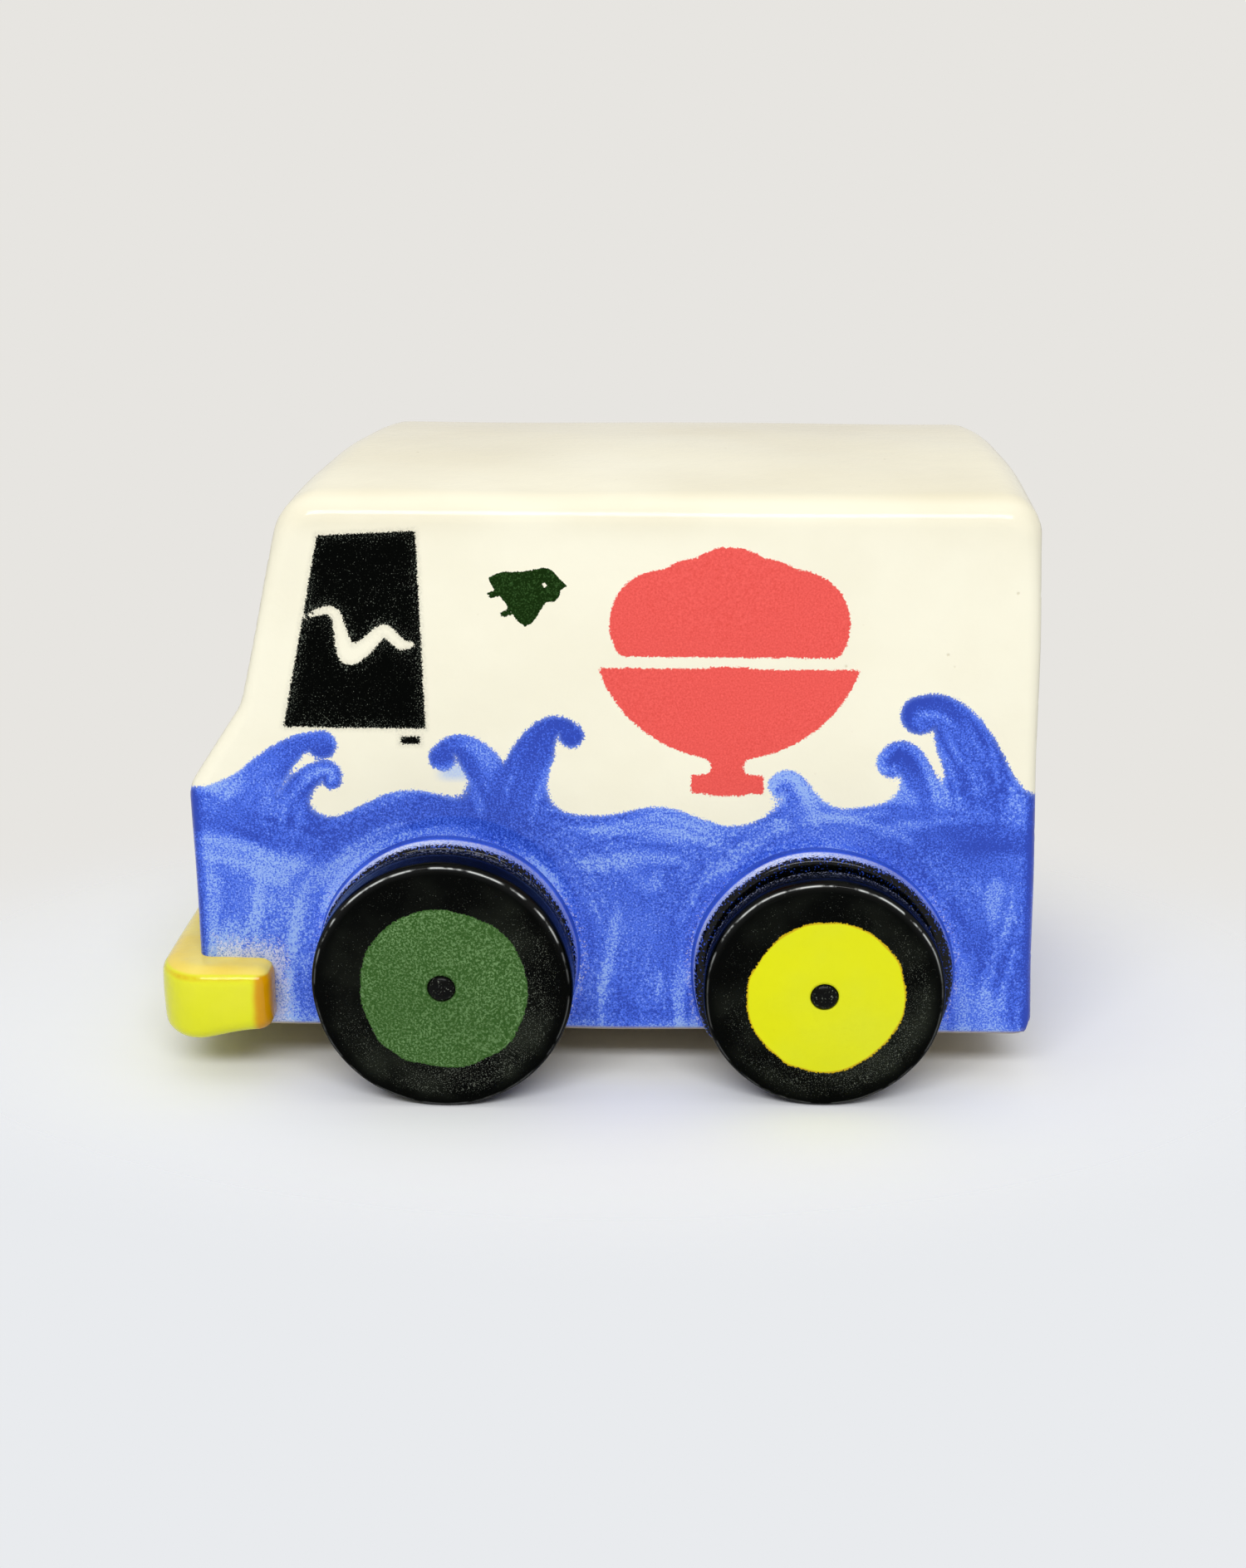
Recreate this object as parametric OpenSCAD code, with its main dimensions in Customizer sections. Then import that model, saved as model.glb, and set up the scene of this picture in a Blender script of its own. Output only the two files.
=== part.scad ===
// Hand-built ceramic model of a shaved ice truck, in millimetres.
// The nose points to -X, +Z is up, and the origin is on the ground under the middle of the model.
// Clay slabs make a hollow body, a bent bar makes the bumper, and disc wheels turn on through axles.
// Each field of colour is a thin layer laid on the clay.

/* [Body] */
// Length from the nose face to the tail at the sill
body_l = 147.5; // [130:0.5:170]
// Width over the flanks
body_w = 88; // [70:1:110]
// Height of the roof above the ground
roof_z = 104; // [96:0.5:120]
// Height of the sill, the body's lower edge, above the ground
sill_z = 9; // [6:0.1:11]
// Thickness of the clay slabs
wall = 6; // [4.5:0.5:7]
// Rounding of the edges along the flanks
edge_r = 2.5; // [1.5:0.5:4]
// Slip between two slabs that are joined
slip_gap = 0.2; // [0.1:0.05:0.4]
// Diameter of the vent hole in the floor slab
vent_d = 8; // [4:0.5:12]

/* [Cab] */
// Height of the hood's front edge above the ground
hood_z = 53.3; // [50:0.1:56]
// Height of the windscreen's foot above the ground
cowl_z = 68; // [66:0.5:72]
// Lean of the hood back from upright
hood_lean = 33; // [25:1:40]
// Lean of the windscreen back from upright
screen_lean = 13; // [5:1:20]
// Lean of the tail slab forward from upright
tail_lean = 2; // [0.5:0.1:3]
// Inside radius of the bend at the hood's front edge
hood_bend_r = 0.6; // [0.5:0.1:2]
// Outside radius of the hollow bend at the windscreen's foot
cowl_bend_r = 10; // [6:1:14]
// Inside radius of the bend between windscreen and roof
brow_bend_r = 2.5; // [0.5:0.5:5]
// Inside radius of the bend between roof and tail
tail_bend_r = 0.5; // [0.5:0.5:4]

/* [Bumper] */
// Height of the bumper's lower edge above the ground
bumper_z = 8.3; // [6:0.1:11]
// Height of the bumper bar
bumper_h = 14; // [8:0.5:16]
// Thickness of the bumper bar
bumper_t = 6.5; // [3:0.5:7]
// Reach of the bumper's ends along the flanks, from the nose face
bumper_leg = 14; // [11:0.5:16]
// Rounding of the bumper's outer edges
bumper_r = 2.4; // [0.5:0.1:2.8]

/* [Wheels] */
// Diameter of the front wheels
front_wheel_d = 44.8; // [40:0.2:46]
// Diameter of the rear wheels
rear_wheel_d = 41.6; // [38:0.2:44]
// Thickness of the front wheels
front_wheel_t = 9.2; // [5:0.2:10]
// Thickness of the rear wheels
rear_wheel_t = 6.8; // [5:0.2:10]
// Rounding of the wheels' edges
wheel_r = 1.6; // [0.5:0.1:2.5]
// Room between a wheel and the pad behind it
wheel_gap = 0.6; // [0.4:0.1:1.5]
// Lip of the pads on the flanks past the front wheels' rims, all round
pad_lip = 0.3; // [0:0.1:1.5]
// Thickness of the pads
pad_t = 3.6; // [2:0.2:6]
// Rounding of the pads' outer edge
pad_r = 1; // [0.4:0.1:1.4]
// Distance of the front axle behind the nose face
front_axle_x = 44.7; // [43:0.1:48]
// Distance between the axles
wheelbase = 65.3; // [60:0.1:72]
// Diameter of the axle rods
axle_d = 4.8; // [3:0.2:6]
// Play of an axle rod in the body's holes, all round
axle_play = 0.3; // [0.2:0.05:0.5]
// Glue between an axle rod and its wheels, all round
glue_gap = 0.05; // [0.02:0.01:0.1]
// Reach of an axle rod past the wheel's paint
axle_proud = 0.4; // [0.2:0.1:1]
// Diameter of the green discs on the front wheels
front_disc_d = 29; // [20:0.2:34]
// Diameter of the yellow discs on the rear wheels
rear_disc_d = 27.4; // [20:0.2:32]

/* [Paint] */
// Thickness of a layer of colour
paint_t = 0.3; // [0.2:0.05:0.5]
// Height of the blue above the sill on the tail, and the measure of the waves on the flanks
tail_blue_h = 42; // [30:1:46]
// Height of the side windows' lower edge above the sill
window_z = 55.6; // [53:0.1:58]
// Height of the side windows
window_h = 33.6; // [25:0.2:34]
// Length of the side windows along their lower edge
window_l = 23.8; // [18:0.2:28]
// Slant of the side windows' front edge
window_slant = 6.8; // [3:0.2:9]
// Distance of the side windows' rear edge behind the nose face
window_x = 41.6; // [38:0.2:44]
// Width of the pale glint across a window
glint_w = 2.4; // [1:0.1:4]
// Length of the door handle mark
handle_l = 3.4; // [2:0.2:6]
// Height of the door handle mark
handle_h = 1.4; // [1:0.1:3]
// Distance of the door handle mark from the line of the window's rear edge
handle_inset = 1; // [0:0.2:4]
// Distance of the bird behind the nose face
bird_x = 58.6; // [54:0.2:62]
// Height of the bird above the sill
bird_z = 79.5; // [72:0.5:82]
// Length of the bird from tail to beak
bird_l = 13.5; // [8:0.5:16]
// Distance of the ice dish's middle behind the nose face
dish_x = 93; // [88:0.5:96]
// Room between the swell and the ice dish's foot
dish_gap = 3.8; // [3:0.2:6]
// Room between the top of the ice and the roof slab
dish_top_gap = 1.5; // [1:0.1:6]
// Width of the ice dish
dish_w = 44; // [34:1:46]
// Height of the dish's rim above its foot
dish_rim_h = 22; // [18:0.5:25]
// Depth of the dish's bowl
dish_depth = 16; // [12:0.5:18]
// Height of the dish's foot
dish_foot_h = 3.4; // [2:0.2:5]
// Width of the dish's foot
dish_foot_w = 12.4; // [10:0.2:18]
// Width of the dish's stem
dish_stem_w = 5.4; // [4:0.2:8]
// Bare line between the dish and its ice
dish_line = 2; // [1:0.1:3]
// Radius of the lumps of ice
ice_r = 9.4; // [8:0.2:10]
// Border round the panes of the windscreen
screen_border = 5; // [4:0.5:8]
// Width of the bar between two panes
pane_bar = 4; // [2:0.5:8]
// Height of the panes in the tail
tail_pane_h = 26; // [18:1:28]
// Width of each pane in the tail
tail_pane_w = 26; // [18:1:28]
// Diameter of the lamps
lamp_d = 11; // [6:0.5:13]
// Distance between the lamps
lamp_gap = 58; // [44:1:60]

/* [Hidden] */
$fn = 64;

CREAM = "#f7efcf";
BLUE = "#2f55c8";
BLACK = "#141414";
RED = "#e8403c";
GREEN = "#3f6b33";
DARK_GREEN = "#24421c";
YELLOW = "#e3e61c";
CLAY = "#e6dcc8";

// Frame: the bumper and the tail's paint end the same distance from the origin
bumper_stand = paint_t + slip_gap;
total_l = bumper_stand + bumper_t + body_l + paint_t;
nose_x = -total_l / 2 + bumper_stand + bumper_t;
tail_x = total_l / 2 - paint_t;
half_w = body_w / 2;
// Reach of a cut past the faces that it goes through
cut_over = 1;

// Corners of the body's outer profile in X and Z, from the nose's foot over the roof to the tail's foot
cowl_x = nose_x + (cowl_z - hood_z) * tan(hood_lean);
brow_x = cowl_x + (roof_z - cowl_z) * tan(screen_lean);
corners = [
    [nose_x, sill_z],
    [nose_x, hood_z],
    [cowl_x, cowl_z],
    [brow_x, roof_z],
    [tail_x - (roof_z - sill_z) * tan(tail_lean), roof_z],
    [tail_x, sill_z]
];
// Outside radius of the bend at each corner
bend_r = [0, wall + hood_bend_r, cowl_bend_r, wall + brow_bend_r, wall + tail_bend_r, 0];

// The straight runs between the corners
NOSE = 0;
HOOD = 1;
SCREEN = 2;
ROOF = 3;
TAIL = 4;

// Axles: place along the truck, diameter and thickness of the wheels, diameter and tint of the discs on them
AXLE_X = 0;
WHEEL_D = 1;
WHEEL_T = 2;
DISC_D = 3;
DISC_TINT = 4;
front = [nose_x + front_axle_x, front_wheel_d, front_wheel_t, front_disc_d, GREEN];
rear = [front[AXLE_X] + wheelbase, rear_wheel_d, rear_wheel_t, rear_disc_d, YELLOW];
AXLES = [front, rear];
// All four pads have one size
pad_d = front_wheel_d + 2 * pad_lip;
pad_y = half_w + slip_gap;
wheel_inner_y = pad_y + pad_t + wheel_gap;
axle_r = axle_d / 2;

// Blue swell along the flank: share of body_l behind the nose face, share of tail_blue_h above the sill
SWELL = [
    [0, 1.05], [0.15, 0.93], [0.26, 1.06], [0.37, 0.98], [0.48, 0.96],
    [0.55, 1], [0.64, 0.92], [0.7, 0.98], [0.9, 1.05], [1, 1.04]
];
SWELL_STEPS = 72;

// Breaking crests: foot, two pulls and tip of a curve, as shares like those of the swell,
// then the width at the foot and the width at the tip as shares of tail_blue_h
CRESTS = [
    [[0.04, 0.9], [0.07, 1.05], [0.12, 1.25], [0.16, 1.25], 0.25, 0.1],
    [[0.12, 0.9], [0.11, 1.1], [0.18, 1.2], [0.17, 1.1], 0.15, 0.08],
    [[0.37, 0.9], [0.36, 1.2], [0.32, 1.3], [0.3, 1.2], 0.2, 0.08],
    [[0.38, 0.9], [0.39, 1.15], [0.42, 1.4], [0.45, 1.3], 0.3, 0.1],
    [[0.72, 0.9], [0.72, 1.1], [0.7, 1.15], [0.69, 1.1], 0.15, 0.08],
    [[0.86, 0.95], [0.86, 1.15], [0.83, 1.3], [0.82, 1.2], 0.15, 0.12],
    [[0.93, 0.95], [0.92, 1.25], [0.88, 1.45], [0.85, 1.4], 0.35, 0.15]
];
CREST_TIP = 3;
FOOT_WIDTH = 4;
TIP_WIDTH = 5;
CURL_STEPS = 16;
// A crest's round tip is this much wider than the stroke that it ends
TIP_SWELL = 1.1;
// On the hollow side a crest narrows to nothing over the last part of its curve, where the tip takes over
HOLLOW_FADE = 2;

// Zigzag glint on a window: share of the window's width, share of its height, width as a share of glint_w
GLINT = [
    [0.2, 0.58, 0.2], [0.33, 0.6, 0.5], [0.43, 0.48, 0.6], [0.52, 0.38, 0.6],
    [0.63, 0.42, 0.6], [0.73, 0.52, 0.5], [0.86, 0.44, 0.5], [0.94, 0.45, 0.3]
];
GLINT_STEPS = 3;

// Path of the slabs
function heading(i) = atan2(corners[i + 1].y - corners[i].y, corners[i + 1].x - corners[i].x);
function along(a) = [cos(a), sin(a)];
function outward(a) = [-sin(a), cos(a)];
function turn(i) = heading(i) - heading(i - 1);
function tangent(i) = bend_r[i] * tan(abs(turn(i)) / 2);
function run_start(i) = corners[i] + (i == 0 ? 0 : tangent(i)) * along(heading(i));
function run_end(i) = corners[i + 1] - (i == TAIL ? 0 : tangent(i + 1)) * along(heading(i));
function run_length(i) = norm(run_end(i) - run_start(i));
// A bend's centre lies inside the body, or outside it at the hollow bend
function bend_side(i) = turn(i) < 0 ? -1 : 1;
function bend_centre(i) = run_end(i - 1) + bend_side(i) * bend_r[i] * outward(heading(i - 1));

// The profile moved inwards by a distance, as a closed outline that stands on the sill
BEND_POINTS = 6;
function bend_outline(i, inset) = [
    for (k = [0 : BEND_POINTS])
        bend_centre(i) - bend_side(i) * (bend_r[i] + bend_side(i) * inset)
            * outward(heading(i - 1) + turn(i) * k / BEND_POINTS)
];
function inset_outline(inset) = concat(
    [[nose_x + inset, sill_z]],
    [for (i = [1 : 4]) each bend_outline(i, inset)],
    [[tail_x - inset / cos(tail_lean), sill_z]]
);

// Cross-section of a slab: X across the truck, Y outwards, with room for a layer outside it
module slab_section(layer = 0) {
    flat_w = body_w - 2 * edge_r;
    translate([-flat_w / 2, -wall]) square([flat_w, wall + layer]);
    translate([-half_w - layer, -wall]) square([body_w + 2 * layer, wall - edge_r]);
    intersection() {
        for (side = [-1, 1])
            translate([side * flat_w / 2, -edge_r]) circle(r = edge_r + layer);
        translate([-body_w, -edge_r]) square([2 * body_w, 2 * edge_r]);
    }
}

module layer_section() {
    difference() {
        slab_section(paint_t);
        slab_section();
    }
}

// Children lie on straight run i: X along the run from its start or its end, Y across, Z outwards
module on_run(i, at_end = false) {
    point = at_end ? run_end(i) : run_start(i);
    translate([point.x, 0, point.y]) rotate([0, -heading(i), 0]) children();
}

// A section drawn across the truck, drawn out along +X
module drawn_out(length) {
    rotate([90, 0, 90]) linear_extrude(length) children();
}

// A straight slab on run i that stops a slip joint short of the bend after it
module straight_slab(i) {
    on_run(i) drawn_out(run_length(i) - slip_gap) slab_section();
}

// The bend at corner i, seen from the run it is drawn on: way -1 goes back from it, 1 goes ahead
module bend(i, way) {
    inside = bend_side(i);
    translate([0, 0, inside * bend_r[i]])
        rotate([0, 90 * inside, -90 * way])
            rotate_extrude(angle = abs(turn(i)))
                translate([bend_r[i], 0]) rotate(90 * inside) slab_section();
}

// Children are drawn in X and Z on a flank; side -1 is the left one and 1 the right one
module on_flank(side, depth) {
    translate([0, side < 0 ? -half_w : half_w + depth, 0])
        rotate([90, 0, 0]) linear_extrude(depth) children();
}

module axle_holes() {
    for (axle = AXLES)
        translate([axle[AXLE_X], axle[WHEEL_D] / 2]) circle(r = axle_r + axle_play);
}

// Body slabs
module flank(side) {
    color(CREAM)
        translate([0, side < 0 ? -half_w + wall : half_w, 0])
            rotate([90, 0, 0]) linear_extrude(wall) difference() {
                polygon(inset_outline(wall + slip_gap));
                axle_holes();
            }
}

module nose_slab() {
    color(CREAM) straight_slab(NOSE);
}

module hood_slab() {
    color(CREAM) {
        straight_slab(HOOD);
        on_run(HOOD) bend(HOOD, -1);
    }
}

module screen_slab() {
    color(CREAM) {
        straight_slab(SCREEN);
        on_run(SCREEN) bend(SCREEN, -1);
    }
}

// The roof is drawn from both ends to its middle
module roof_slab() {
    half_l = run_length(ROOF) / 2 + slip_gap;
    color(CREAM) {
        on_run(ROOF) {
            drawn_out(half_l) slab_section();
            bend(ROOF, -1);
        }
        on_run(ROOF, true) {
            translate([-half_l, 0, 0]) drawn_out(half_l) slab_section();
            bend(TAIL, 1);
        }
    }
}

module tail_slab() {
    color(CREAM)
        on_run(TAIL) translate([slip_gap, 0, 0]) drawn_out(run_length(TAIL) - slip_gap) slab_section();
}

module floor_slab() {
    inner_w = body_w - 2 * (wall + slip_gap);
    front_end = nose_x + wall + slip_gap;
    rear_end = tail_x - (wall + slip_gap) / cos(tail_lean) - wall * tan(tail_lean);
    color(CLAY)
        difference() {
            translate([front_end, -inner_w / 2, sill_z]) cube([rear_end - front_end, inner_w, wall]);
            translate([(front_end + rear_end) / 2, 0, sill_z - cut_over])
                cylinder(d = vent_d, h = wall + 2 * cut_over);
            translate([0, half_w, 0]) rotate([90, 0, 0]) linear_extrude(body_w) axle_holes();
        }
}

// Bumper bar: X away from the body, Y up, with its outer edges rounded
module bumper_section() {
    square([bumper_t - bumper_r, bumper_h]);
    translate([0, bumper_r]) square([bumper_t, bumper_h - 2 * bumper_r]);
    for (z = [bumper_r, bumper_h - bumper_r])
        translate([bumper_t - bumper_r, z]) circle(r = bumper_r);
}

module bumper() {
    corner_x = nose_x + edge_r;
    corner_y = half_w - edge_r;
    end_x = nose_x + bumper_leg - bumper_t;
    color(YELLOW)
        translate([0, 0, bumper_z]) {
            translate([nose_x - bumper_stand, -corner_y, 0])
                rotate([90, 0, 180]) linear_extrude(2 * corner_y) bumper_section();
            for (side = [0, 1])
                mirror([0, side, 0]) {
                    translate([corner_x, corner_y, 0])
                        rotate([0, 0, 90]) rotate_extrude(angle = 90)
                            translate([edge_r + bumper_stand, 0]) bumper_section();
                    translate([corner_x, half_w + bumper_stand, 0])
                        drawn_out(end_x - corner_x) bumper_section();
                    translate([end_x, half_w + bumper_stand, 0])
                        rotate_extrude(angle = 90) bumper_section();
                }
        }
}

// Wheels and axles: children turn about +Z and are laid along the truck's width
module at_axle(axle, y, side) {
    translate([axle[AXLE_X], side * y, axle[WHEEL_D] / 2]) rotate([side < 0 ? 90 : -90, 0, 0]) children();
}

module wheel_section(wheel_d, wheel_t) {
    bore_r = axle_r + glue_gap;
    rim = wheel_d / 2;
    translate([bore_r, 0]) square([rim - wheel_r - bore_r, wheel_t]);
    translate([bore_r, wheel_r]) square([rim - bore_r, wheel_t - 2 * wheel_r]);
    for (z = [wheel_r, wheel_t - wheel_r])
        translate([rim - wheel_r, z]) circle(r = wheel_r);
}

// Pads are rounded on the wheel's side and cut off level with the sill
module pad_section() {
    bore_r = axle_r + axle_play;
    rim = pad_d / 2;
    translate([bore_r, 0]) square([rim - pad_r - bore_r, pad_t]);
    translate([bore_r, 0]) square([rim - bore_r, pad_t - pad_r]);
    translate([rim - pad_r, pad_t - pad_r]) circle(r = pad_r);
}

module pads(axle) {
    color(BLUE)
        for (side = [-1, 1])
            difference() {
                at_axle(axle, pad_y, side) rotate_extrude() pad_section();
                translate([axle[AXLE_X] - pad_d, -body_w, -pad_d])
                    cube([2 * pad_d, 2 * body_w, pad_d + sill_z]);
            }
}

module wheel(axle, side) {
    color(BLACK)
        at_axle(axle, wheel_inner_y, side) rotate_extrude() wheel_section(axle[WHEEL_D], axle[WHEEL_T]);
}

module axle_rod(axle) {
    reach = wheel_inner_y + axle[WHEEL_T] + paint_t + axle_proud;
    color(BLACK) at_axle(axle, reach, 1) translate([0, 0, -2 * reach]) cylinder(r = axle_r, h = 2 * reach);
}

module disc_paint(axle) {
    color(axle[DISC_TINT])
        for (side = [-1, 1])
            at_axle(axle, wheel_inner_y + axle[WHEEL_T], side)
                difference() {
                    cylinder(d = axle[DISC_D], h = paint_t);
                    translate([0, 0, -cut_over])
                        cylinder(r = axle_r + glue_gap, h = paint_t + 2 * cut_over);
                }
}

// Blue waves
function eased(t) = (1 - cos(180 * t)) / 2;
function swell_piece(x) = max([for (k = [0 : len(SWELL) - 2]) if (x >= SWELL[k][0]) k]);
function swell_between(a, b, x) = a[1] + (b[1] - a[1]) * eased(min(1, (x - a[0]) / (b[0] - a[0])));
function swell(x) = swell_between(SWELL[swell_piece(x)], SWELL[swell_piece(x) + 1], x);

// A crest follows one curve from its foot to its tip and narrows on the way
function curve(p, t) = pow(1 - t, 3) * p[0] + 3 * pow(1 - t, 2) * t * p[1]
    + 3 * (1 - t) * t * t * p[2] + pow(t, 3) * p[3];
function crest_curve(c) = [
    for (k = [0 : CREST_TIP]) [nose_x + c[k].x * body_l, sill_z + c[k].y * tail_blue_h]
];
function crest_half(c, t) = (c[FOOT_WIDTH] + (c[TIP_WIDTH] - c[FOOT_WIDTH]) * pow(t, 0.6)) * tail_blue_h / 2;

// Both edges of a line of points, each with its own distance from the line at every point
function line_way(p, k) = let (d = p[min(k + 1, len(p) - 1)] - p[max(k - 1, 0)]) d / norm(d);
function line_edge(p, away, side) = [
    for (k = [0 : len(p) - 1]) p[k] + side * away[k] * [-line_way(p, k).y, line_way(p, k).x]
];
// A soft line through points, with a number of steps from each to the next
function between(a, b, c, d, t) = b + (c - a) * t / 2 + (2 * a - 5 * b + 4 * c - d) * t * t / 2
    + (3 * b - a - 3 * c + d) * pow(t, 3) / 2;
function smooth_line(p, steps) = concat(
    [for (k = [0 : len(p) - 2], s = [0 : steps - 1])
        between(p[max(k - 1, 0)], p[k], p[k + 1], p[min(k + 2, len(p) - 1)], s / steps)],
    [p[len(p) - 1]]
);
function backwards(list) = [for (k = [len(list) - 1 : -1 : 0]) list[k]];
function brush_line(p, left, right) = concat(line_edge(p, left, 1), backwards(line_edge(p, right, -1)));

module crest(c, border = 0) {
    times = [for (k = [0 : CURL_STEPS]) k / CURL_STEPS];
    points = [for (t = times) curve(crest_curve(c), t)];
    round_side = [for (t = times) crest_half(c, t) + border];
    hollow_side = [for (t = times) (crest_half(c, t) + border) * min(1, HOLLOW_FADE * (1 - t))];
    hooks_forward = c[CREST_TIP].x < c[0].x;
    polygon(hooks_forward
        ? brush_line(points, hollow_side, round_side)
        : brush_line(points, round_side, hollow_side));
    translate(points[CURL_STEPS]) circle(d = c[TIP_WIDTH] * tail_blue_h * TIP_SWELL + 2 * border);
}

// Other paint stops short of the crests
module clear_of_crests() {
    difference() {
        children();
        for (c = CRESTS) crest(c, slip_gap);
    }
}

module flank_waves() {
    difference() {
        intersection() {
            union() {
                polygon(concat(
                    [[nose_x, sill_z]],
                    [for (k = [0 : SWELL_STEPS]) let (share = k / SWELL_STEPS)
                        [nose_x + share * body_l, sill_z + swell(share) * tail_blue_h]],
                    [[tail_x, sill_z]]
                ));
                for (c = CRESTS) crest(c);
            }
            polygon(inset_outline(wall + slip_gap));
        }
        for (axle = AXLES)
            translate([axle[AXLE_X], axle[WHEEL_D] / 2]) circle(d = pad_d + 2 * slip_gap);
    }
}

// Round lamps on a straight run: distance along it from its start, tint
module lamps(i, distance, tint) {
    color(tint)
        on_run(i)
            for (side = [-1, 1])
                translate([distance, side * lamp_gap / 2, 0]) cylinder(d = lamp_d, h = paint_t);
}

module lamp_holes(i, distance) {
    on_run(i)
        for (side = [-1, 1])
            translate([distance, side * lamp_gap / 2, -cut_over])
                cylinder(d = lamp_d + 2 * glue_gap, h = paint_t + 2 * cut_over);
}

bumper_top = bumper_z + bumper_h;
head_lamp_at = bumper_top - sill_z + (hood_z - bumper_top) * 0.55;
tail_lamp_at = run_length(TAIL) - tail_blue_h / 2;

module wave_paint() {
    color(BLUE) {
        for (side = [-1, 1]) on_flank(side, paint_t) flank_waves();
        difference() {
            on_run(NOSE) drawn_out(run_length(NOSE)) layer_section();
            lamp_holes(NOSE, head_lamp_at);
        }
        difference() {
            on_run(TAIL)
                translate([run_length(TAIL) - tail_blue_h, 0, 0]) drawn_out(tail_blue_h) layer_section();
            lamp_holes(TAIL, tail_lamp_at);
        }
    }
}

// Black windows
module side_window() {
    rear_edge = nose_x + window_x;
    foot = sill_z + window_z;
    stroke = smooth_line(GLINT, GLINT_STEPS);
    glint = [for (g = stroke) [rear_edge - window_l * (1 - g[0]), foot + window_h * g[1]]];
    glint_half = [for (g = stroke) glint_w * g[2] / 2];
    difference() {
        polygon([
            [rear_edge - window_l, foot], [rear_edge - window_l + window_slant, foot + window_h],
            [rear_edge, foot + window_h], [rear_edge, foot]
        ]);
        polygon(brush_line(glint, glint_half, glint_half));
    }
    translate([rear_edge - handle_l - handle_inset, foot - 2 * handle_h]) square([handle_l, handle_h]);
}

// Two panes side by side on a straight run: distance from its start, length along it, width of each pane
module panes(i, distance, length, pane_w) {
    on_run(i)
        for (side = [-1, 1])
            translate([distance, side * (pane_w + pane_bar) / 2 - pane_w / 2, 0])
                cube([length, pane_w, paint_t]);
}

module window_paint() {
    screen_w = (body_w - 2 * edge_r - 2 * screen_border - pane_bar) / 2;
    color(BLACK) {
        for (side = [-1, 1]) on_flank(side, paint_t) clear_of_crests() side_window();
        panes(SCREEN, screen_border / 2, run_length(SCREEN) - screen_border, screen_w);
        panes(TAIL, screen_border, tail_pane_h, tail_pane_w);
    }
}

// Red dish of shaved ice: a heap of round lumps over a footed bowl
module ice_dish() {
    foot_swell = max([for (k = [-2 : 2]) swell((dish_x + k * dish_foot_w / 4) / body_l)]);
    dish_z = sill_z + foot_swell * tail_blue_h + dish_gap;
    dish_h = roof_z - wall - slip_gap - dish_top_gap - dish_z;
    bowl_r = (pow(dish_w / 2, 2) + pow(dish_depth, 2)) / (2 * dish_depth);
    heap_z = dish_rim_h + dish_line;
    low_lump = [dish_w / 2 - 1.2 * ice_r, heap_z + 0.6 * ice_r];
    high_lump = [0, dish_h - ice_r];
    translate([nose_x + dish_x, dish_z]) {
        intersection() {
            translate([0, dish_rim_h - dish_depth + bowl_r]) circle(r = bowl_r);
            translate([-dish_w, 0]) square([2 * dish_w, dish_rim_h]);
        }
        translate([-dish_stem_w / 2, 0]) square([dish_stem_w, dish_rim_h]);
        translate([-dish_foot_w / 2, 0]) square([dish_foot_w, dish_foot_h]);
        difference() {
            union() {
                for (side = [-1, 1], step = [0, 0.5, 1]) {
                    lump = low_lump + step * (high_lump - low_lump);
                    translate([side * lump.x, lump.y]) circle(r = ice_r);
                }
                translate([-low_lump.x, 0]) square([2 * low_lump.x, low_lump.y]);
            }
            translate([-dish_w, -heap_z]) square([2 * dish_w, 2 * heap_z]);
        }
    }
}

module dish_paint() {
    color(RED)
        for (side = [-1, 1]) on_flank(side, paint_t) clear_of_crests() ice_dish();
}

// Green plover: back and lower wing in one pointed form, round head, beak, two short legs, pale eye
PLOVER_BODY = [
    [0.15, 0.28], [0, 0.25], [-0.25, 0.25], [-0.38, 0.2], [-0.44, 0.16],
    [-0.06, -0.4], [0.02, -0.44], [0.1, -0.4], [0.3, -0.1]
];
PLOVER_BEAK = [[0.4, 0.2], [0.54, 0.08], [0.4, -0.02]];
// Where each leg starts
PLOVER_LEGS = [[-0.3, 0], [-0.15, -0.24]];

module plover() {
    translate([nose_x + bird_x, sill_z + bird_z])
        difference() {
            union() {
                polygon(bird_l * PLOVER_BODY);
                polygon(bird_l * PLOVER_BEAK);
                translate(bird_l * [0.24, 0.1]) circle(r = 0.2 * bird_l);
                translate(bird_l * [0.33, -0.01]) circle(r = 0.12 * bird_l);
                for (leg = PLOVER_LEGS)
                    translate(bird_l * leg) rotate(204) translate(bird_l * [0, -0.04])
                        square(bird_l * [0.15, 0.08]);
            }
            translate(bird_l * [0.26, 0.08]) circle(r = 0.028 * bird_l);
        }
}

module bird_paint() {
    color(DARK_GREEN)
        for (side = [-1, 1]) on_flank(side, paint_t) clear_of_crests() plover();
}

flank(-1);  // flank_left
flank(1);  // flank_right
nose_slab();
hood_slab();
screen_slab();
roof_slab();
tail_slab();
floor_slab();
bumper();
pads(front);  // pad_front
pads(rear);  // pad_rear
axle_rod(front);  // axle_front
axle_rod(rear);  // axle_rear
wheel(front, -1);  // wheel_front_left
wheel(front, 1);  // wheel_front_right
wheel(rear, -1);  // wheel_rear_left
wheel(rear, 1);  // wheel_rear_right
disc_paint(front);  // disc_paint_front
disc_paint(rear);  // disc_paint_rear
wave_paint();
window_paint();
dish_paint();
bird_paint();
lamps(NOSE, head_lamp_at, YELLOW);  // head_lamp_paint
lamps(TAIL, tail_lamp_at, RED);  // tail_lamp_paint
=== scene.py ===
"""Looks of the hand-built ceramic shaved ice truck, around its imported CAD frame.

Shapes are worked out in millimetres, in the frame's axes, and turned into metres when a mesh is made.
"""

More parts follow.
